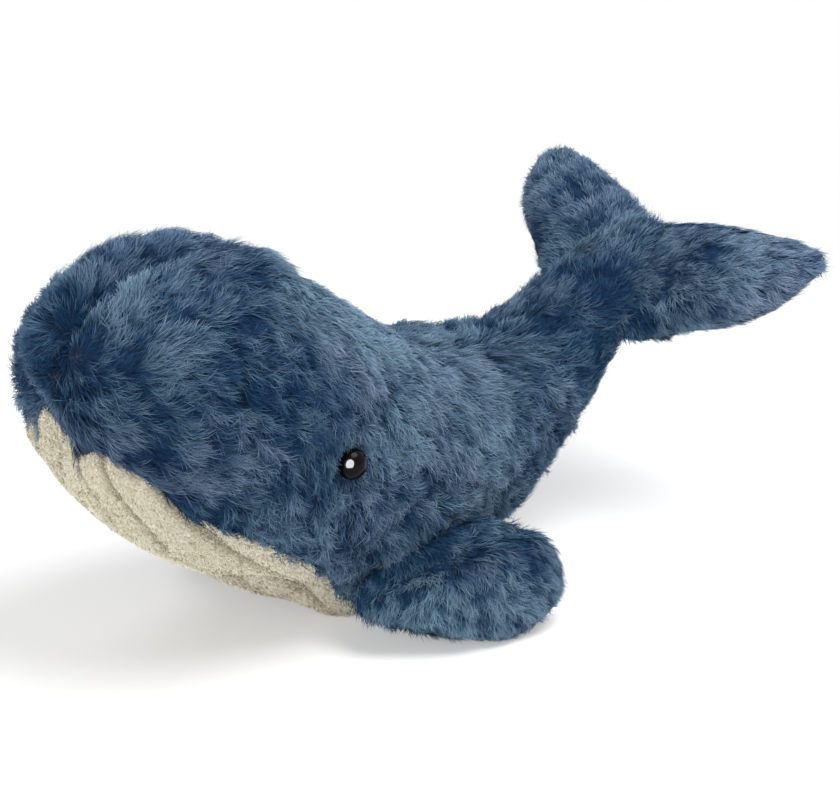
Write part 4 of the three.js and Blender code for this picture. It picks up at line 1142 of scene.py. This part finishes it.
fin_guides = np.array([
    # the root, front to back, then the upper side and the tip
    (45, -57, 23, 0.4, -0.9, -0.2), (53, -54, 24, 0.5, -0.7, -0.5), (54, -42, 30, 0.8, -0.3, 0.3),
    (54, -22, 34, 0.8, 0.0, 0.4), (53, -4, 36, 0.7, 0.3, 0.4), (52, 10, 34, 0.6, 0.6, 0.4),
    (60, -42, 29, 0.8, -0.5, -0.3), (66, -26, 33, 0.9, -0.3, -0.1), (62, -4, 36, 0.6, 0.6, -0.3),
    (73, -42, 24, 0.6, -0.2, -0.8), (77, -26, 29, 0.8, -0.2, -0.6), (70, 11, 30, 0.7, 0.6, -0.4),
    (85, -12, 24, 0.7, 0.2, -0.7), (86, -18, 13, 0.2, 0.5, -0.8), (87, 3, 20, 0.1, 0.8, -0.6),
])
fin_guides = np.vstack([fin_guides, fin_guides * (-1, 1, 1, -1, 1, 1)])

# how a fin has settled: a place, then how far it has moved, in whole mm
fin_moves = [
    (58, -58, 20, -1, -3, -4), (72, -47, 16, 0, 0, 1), (81, -32, 10, 1, 0, -1), (61, -1, 32, 5, 8, 3),
    (75, 2, 32, 1, 6, 7), (85, 11, 21, -3, -1, 3), (88, -1, 12, 2, -1, -5),
]
fin_inset = 4.6  # mm, from the sewn form down to the cloth
seam_edge, seam_fading, seam_shade = 50, 5, 0.4  # mm from the middle, mm, and how much painted shade darkens the fur in the seam
for side, mark in sides:
    points, faces = tube(fin_form(share, angle, fin_inset), None, fin_form(1.0, 0.0, fin_inset))
    points = settle(points, fin_moves, lobe_reach) * (mark, 1, 1)
    points[:, 2] = np.maximum(points[:, 2], table_clearance)
    skin = new_piece(f"{side}_fin_skin", points, outward(points, faces))
    spots, normals = prepare(skin, fin_guides, mirror=False, length=0.75, stand=0.7,
                             flat_way=(mark * 0.45, 0, 0.89), reach=13)
    # painted shade, darker in the seam where the fin meets the body
    in_seam = np.exp(-((np.maximum(np.abs(spots[:, 0]) - seam_edge, 0) / seam_fading) ** 2))
    keep(skin, "shade", values_of(skin, "shade") - seam_shade * in_seam)
    skin.data.materials.append(blue_cloth)
    fur = grow(skin, f"{side}_fin_fur", np.ones(len(spots)), long_strand, blue_fur, 17, **fur_sizes)
    for piece in (skin, fur):
        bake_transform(piece)
    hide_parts(f"{side}_fin_upper_cover", f"{side}_fin_lower_cover", f"{side}_fin_stuffing")


# The eyes
# Black domed safety eyes of 12 mm, each pushed through the cloth on a shank and locked inside by
# a white washer. The fur laps over their rims.

eye_share, eye_angle = 0.432, math.radians(1)
eye_spot = body_form(np.array(eye_share), np.array(eye_angle))
ahead = body_form(np.array(eye_share + 0.001), np.array(eye_angle)) - eye_spot
over = body_form(np.array(eye_share), np.array(eye_angle + 0.001)) - eye_spot
eye_facing = np.cross(ahead, over)
eye_facing = eye_facing / np.linalg.norm(eye_facing) * np.sign(eye_facing[0])


def turned_piece(name, profile, spot, facing, material, steps=64):
    """A piece turned on a lathe: radius and height pairs about the line from spot along facing."""
    sideways = np.cross(facing, (0, 0, 1.0))
    sideways /= np.linalg.norm(sideways)
    upwards = np.cross(sideways, facing)
    turns = np.linspace(0, 2 * np.pi, steps + 1)[:-1]
    ways = np.array([sideways * math.cos(t) + upwards * math.sin(t) for t in turns])
    rings = np.array([spot + facing * height + ways * radius for radius, height in profile[1:-1]])
    points, faces = tube(rings, spot + facing * profile[0][1], spot + facing * profile[-1][1])
    return new_piece(name, points, faces, material)


black_gloss, tree = new_material("black_gloss")
haze = noise(object_place(tree), 400.0, 3.0)
finish_surface(tree, {"Base Color": (0.002, 0.002, 0.003, 1), "Roughness": haze * 0.04 + 0.08, "IOR": 1.17})
white_plastic, tree = new_material("white_plastic")
haze = noise(object_place(tree), 300.0, 2.0)
finish_surface(tree, {"Base Color": (0.75, 0.75, 0.73, 1), "Roughness": haze * 0.2 + 0.4})
eye_radius, dome_height = 6.0, 4.9  # mm
dome_turns = [math.radians(a) for a in range(6, 90, 6)]
dome = [(0, dome_height), *((eye_radius * math.sin(a), dome_height * math.cos(a)) for a in dome_turns),
        (eye_radius, 0), (eye_radius, -0.7), (5.6, -1.0), (1.8, -1.0), (1.8, -14.5), (1.2, -15), (0, -15)]
washer = [(0, 1.0), (6.6, 1.0), (7.0, 0.6), (7.0, -0.2), (6.6, -0.6), (3.5, -0.6), (3.4, -3.4), (0, -3.4)]
eye_shift, eye_depth, washer_depth = (0, 1.2, -1.1), 3.9, 5.0  # mm, from the form's outside
domes = []
for side, mark in sides:
    facing = eye_facing * (mark, 1, 1)
    seat = (eye_spot + eye_shift) * (mark, 1, 1) - facing * eye_depth
    eye = turned_piece(f"{side}_eye_dome", dome, seat, facing, black_gloss)
    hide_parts(f"{side}_eye")
    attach(eye, "body")
    domes.append(eye)
    lock = turned_piece(f"{side}_eye_lock", washer, seat - facing * washer_depth, facing, white_plastic)
    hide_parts(f"{side}_eye_washer")
    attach(lock, "body")

lamp("catch_light", 50, 13, 0.5, 0.52, 80, domes)

for strand in (long_strand, short_strand):
    bpy.data.objects.remove(strand)
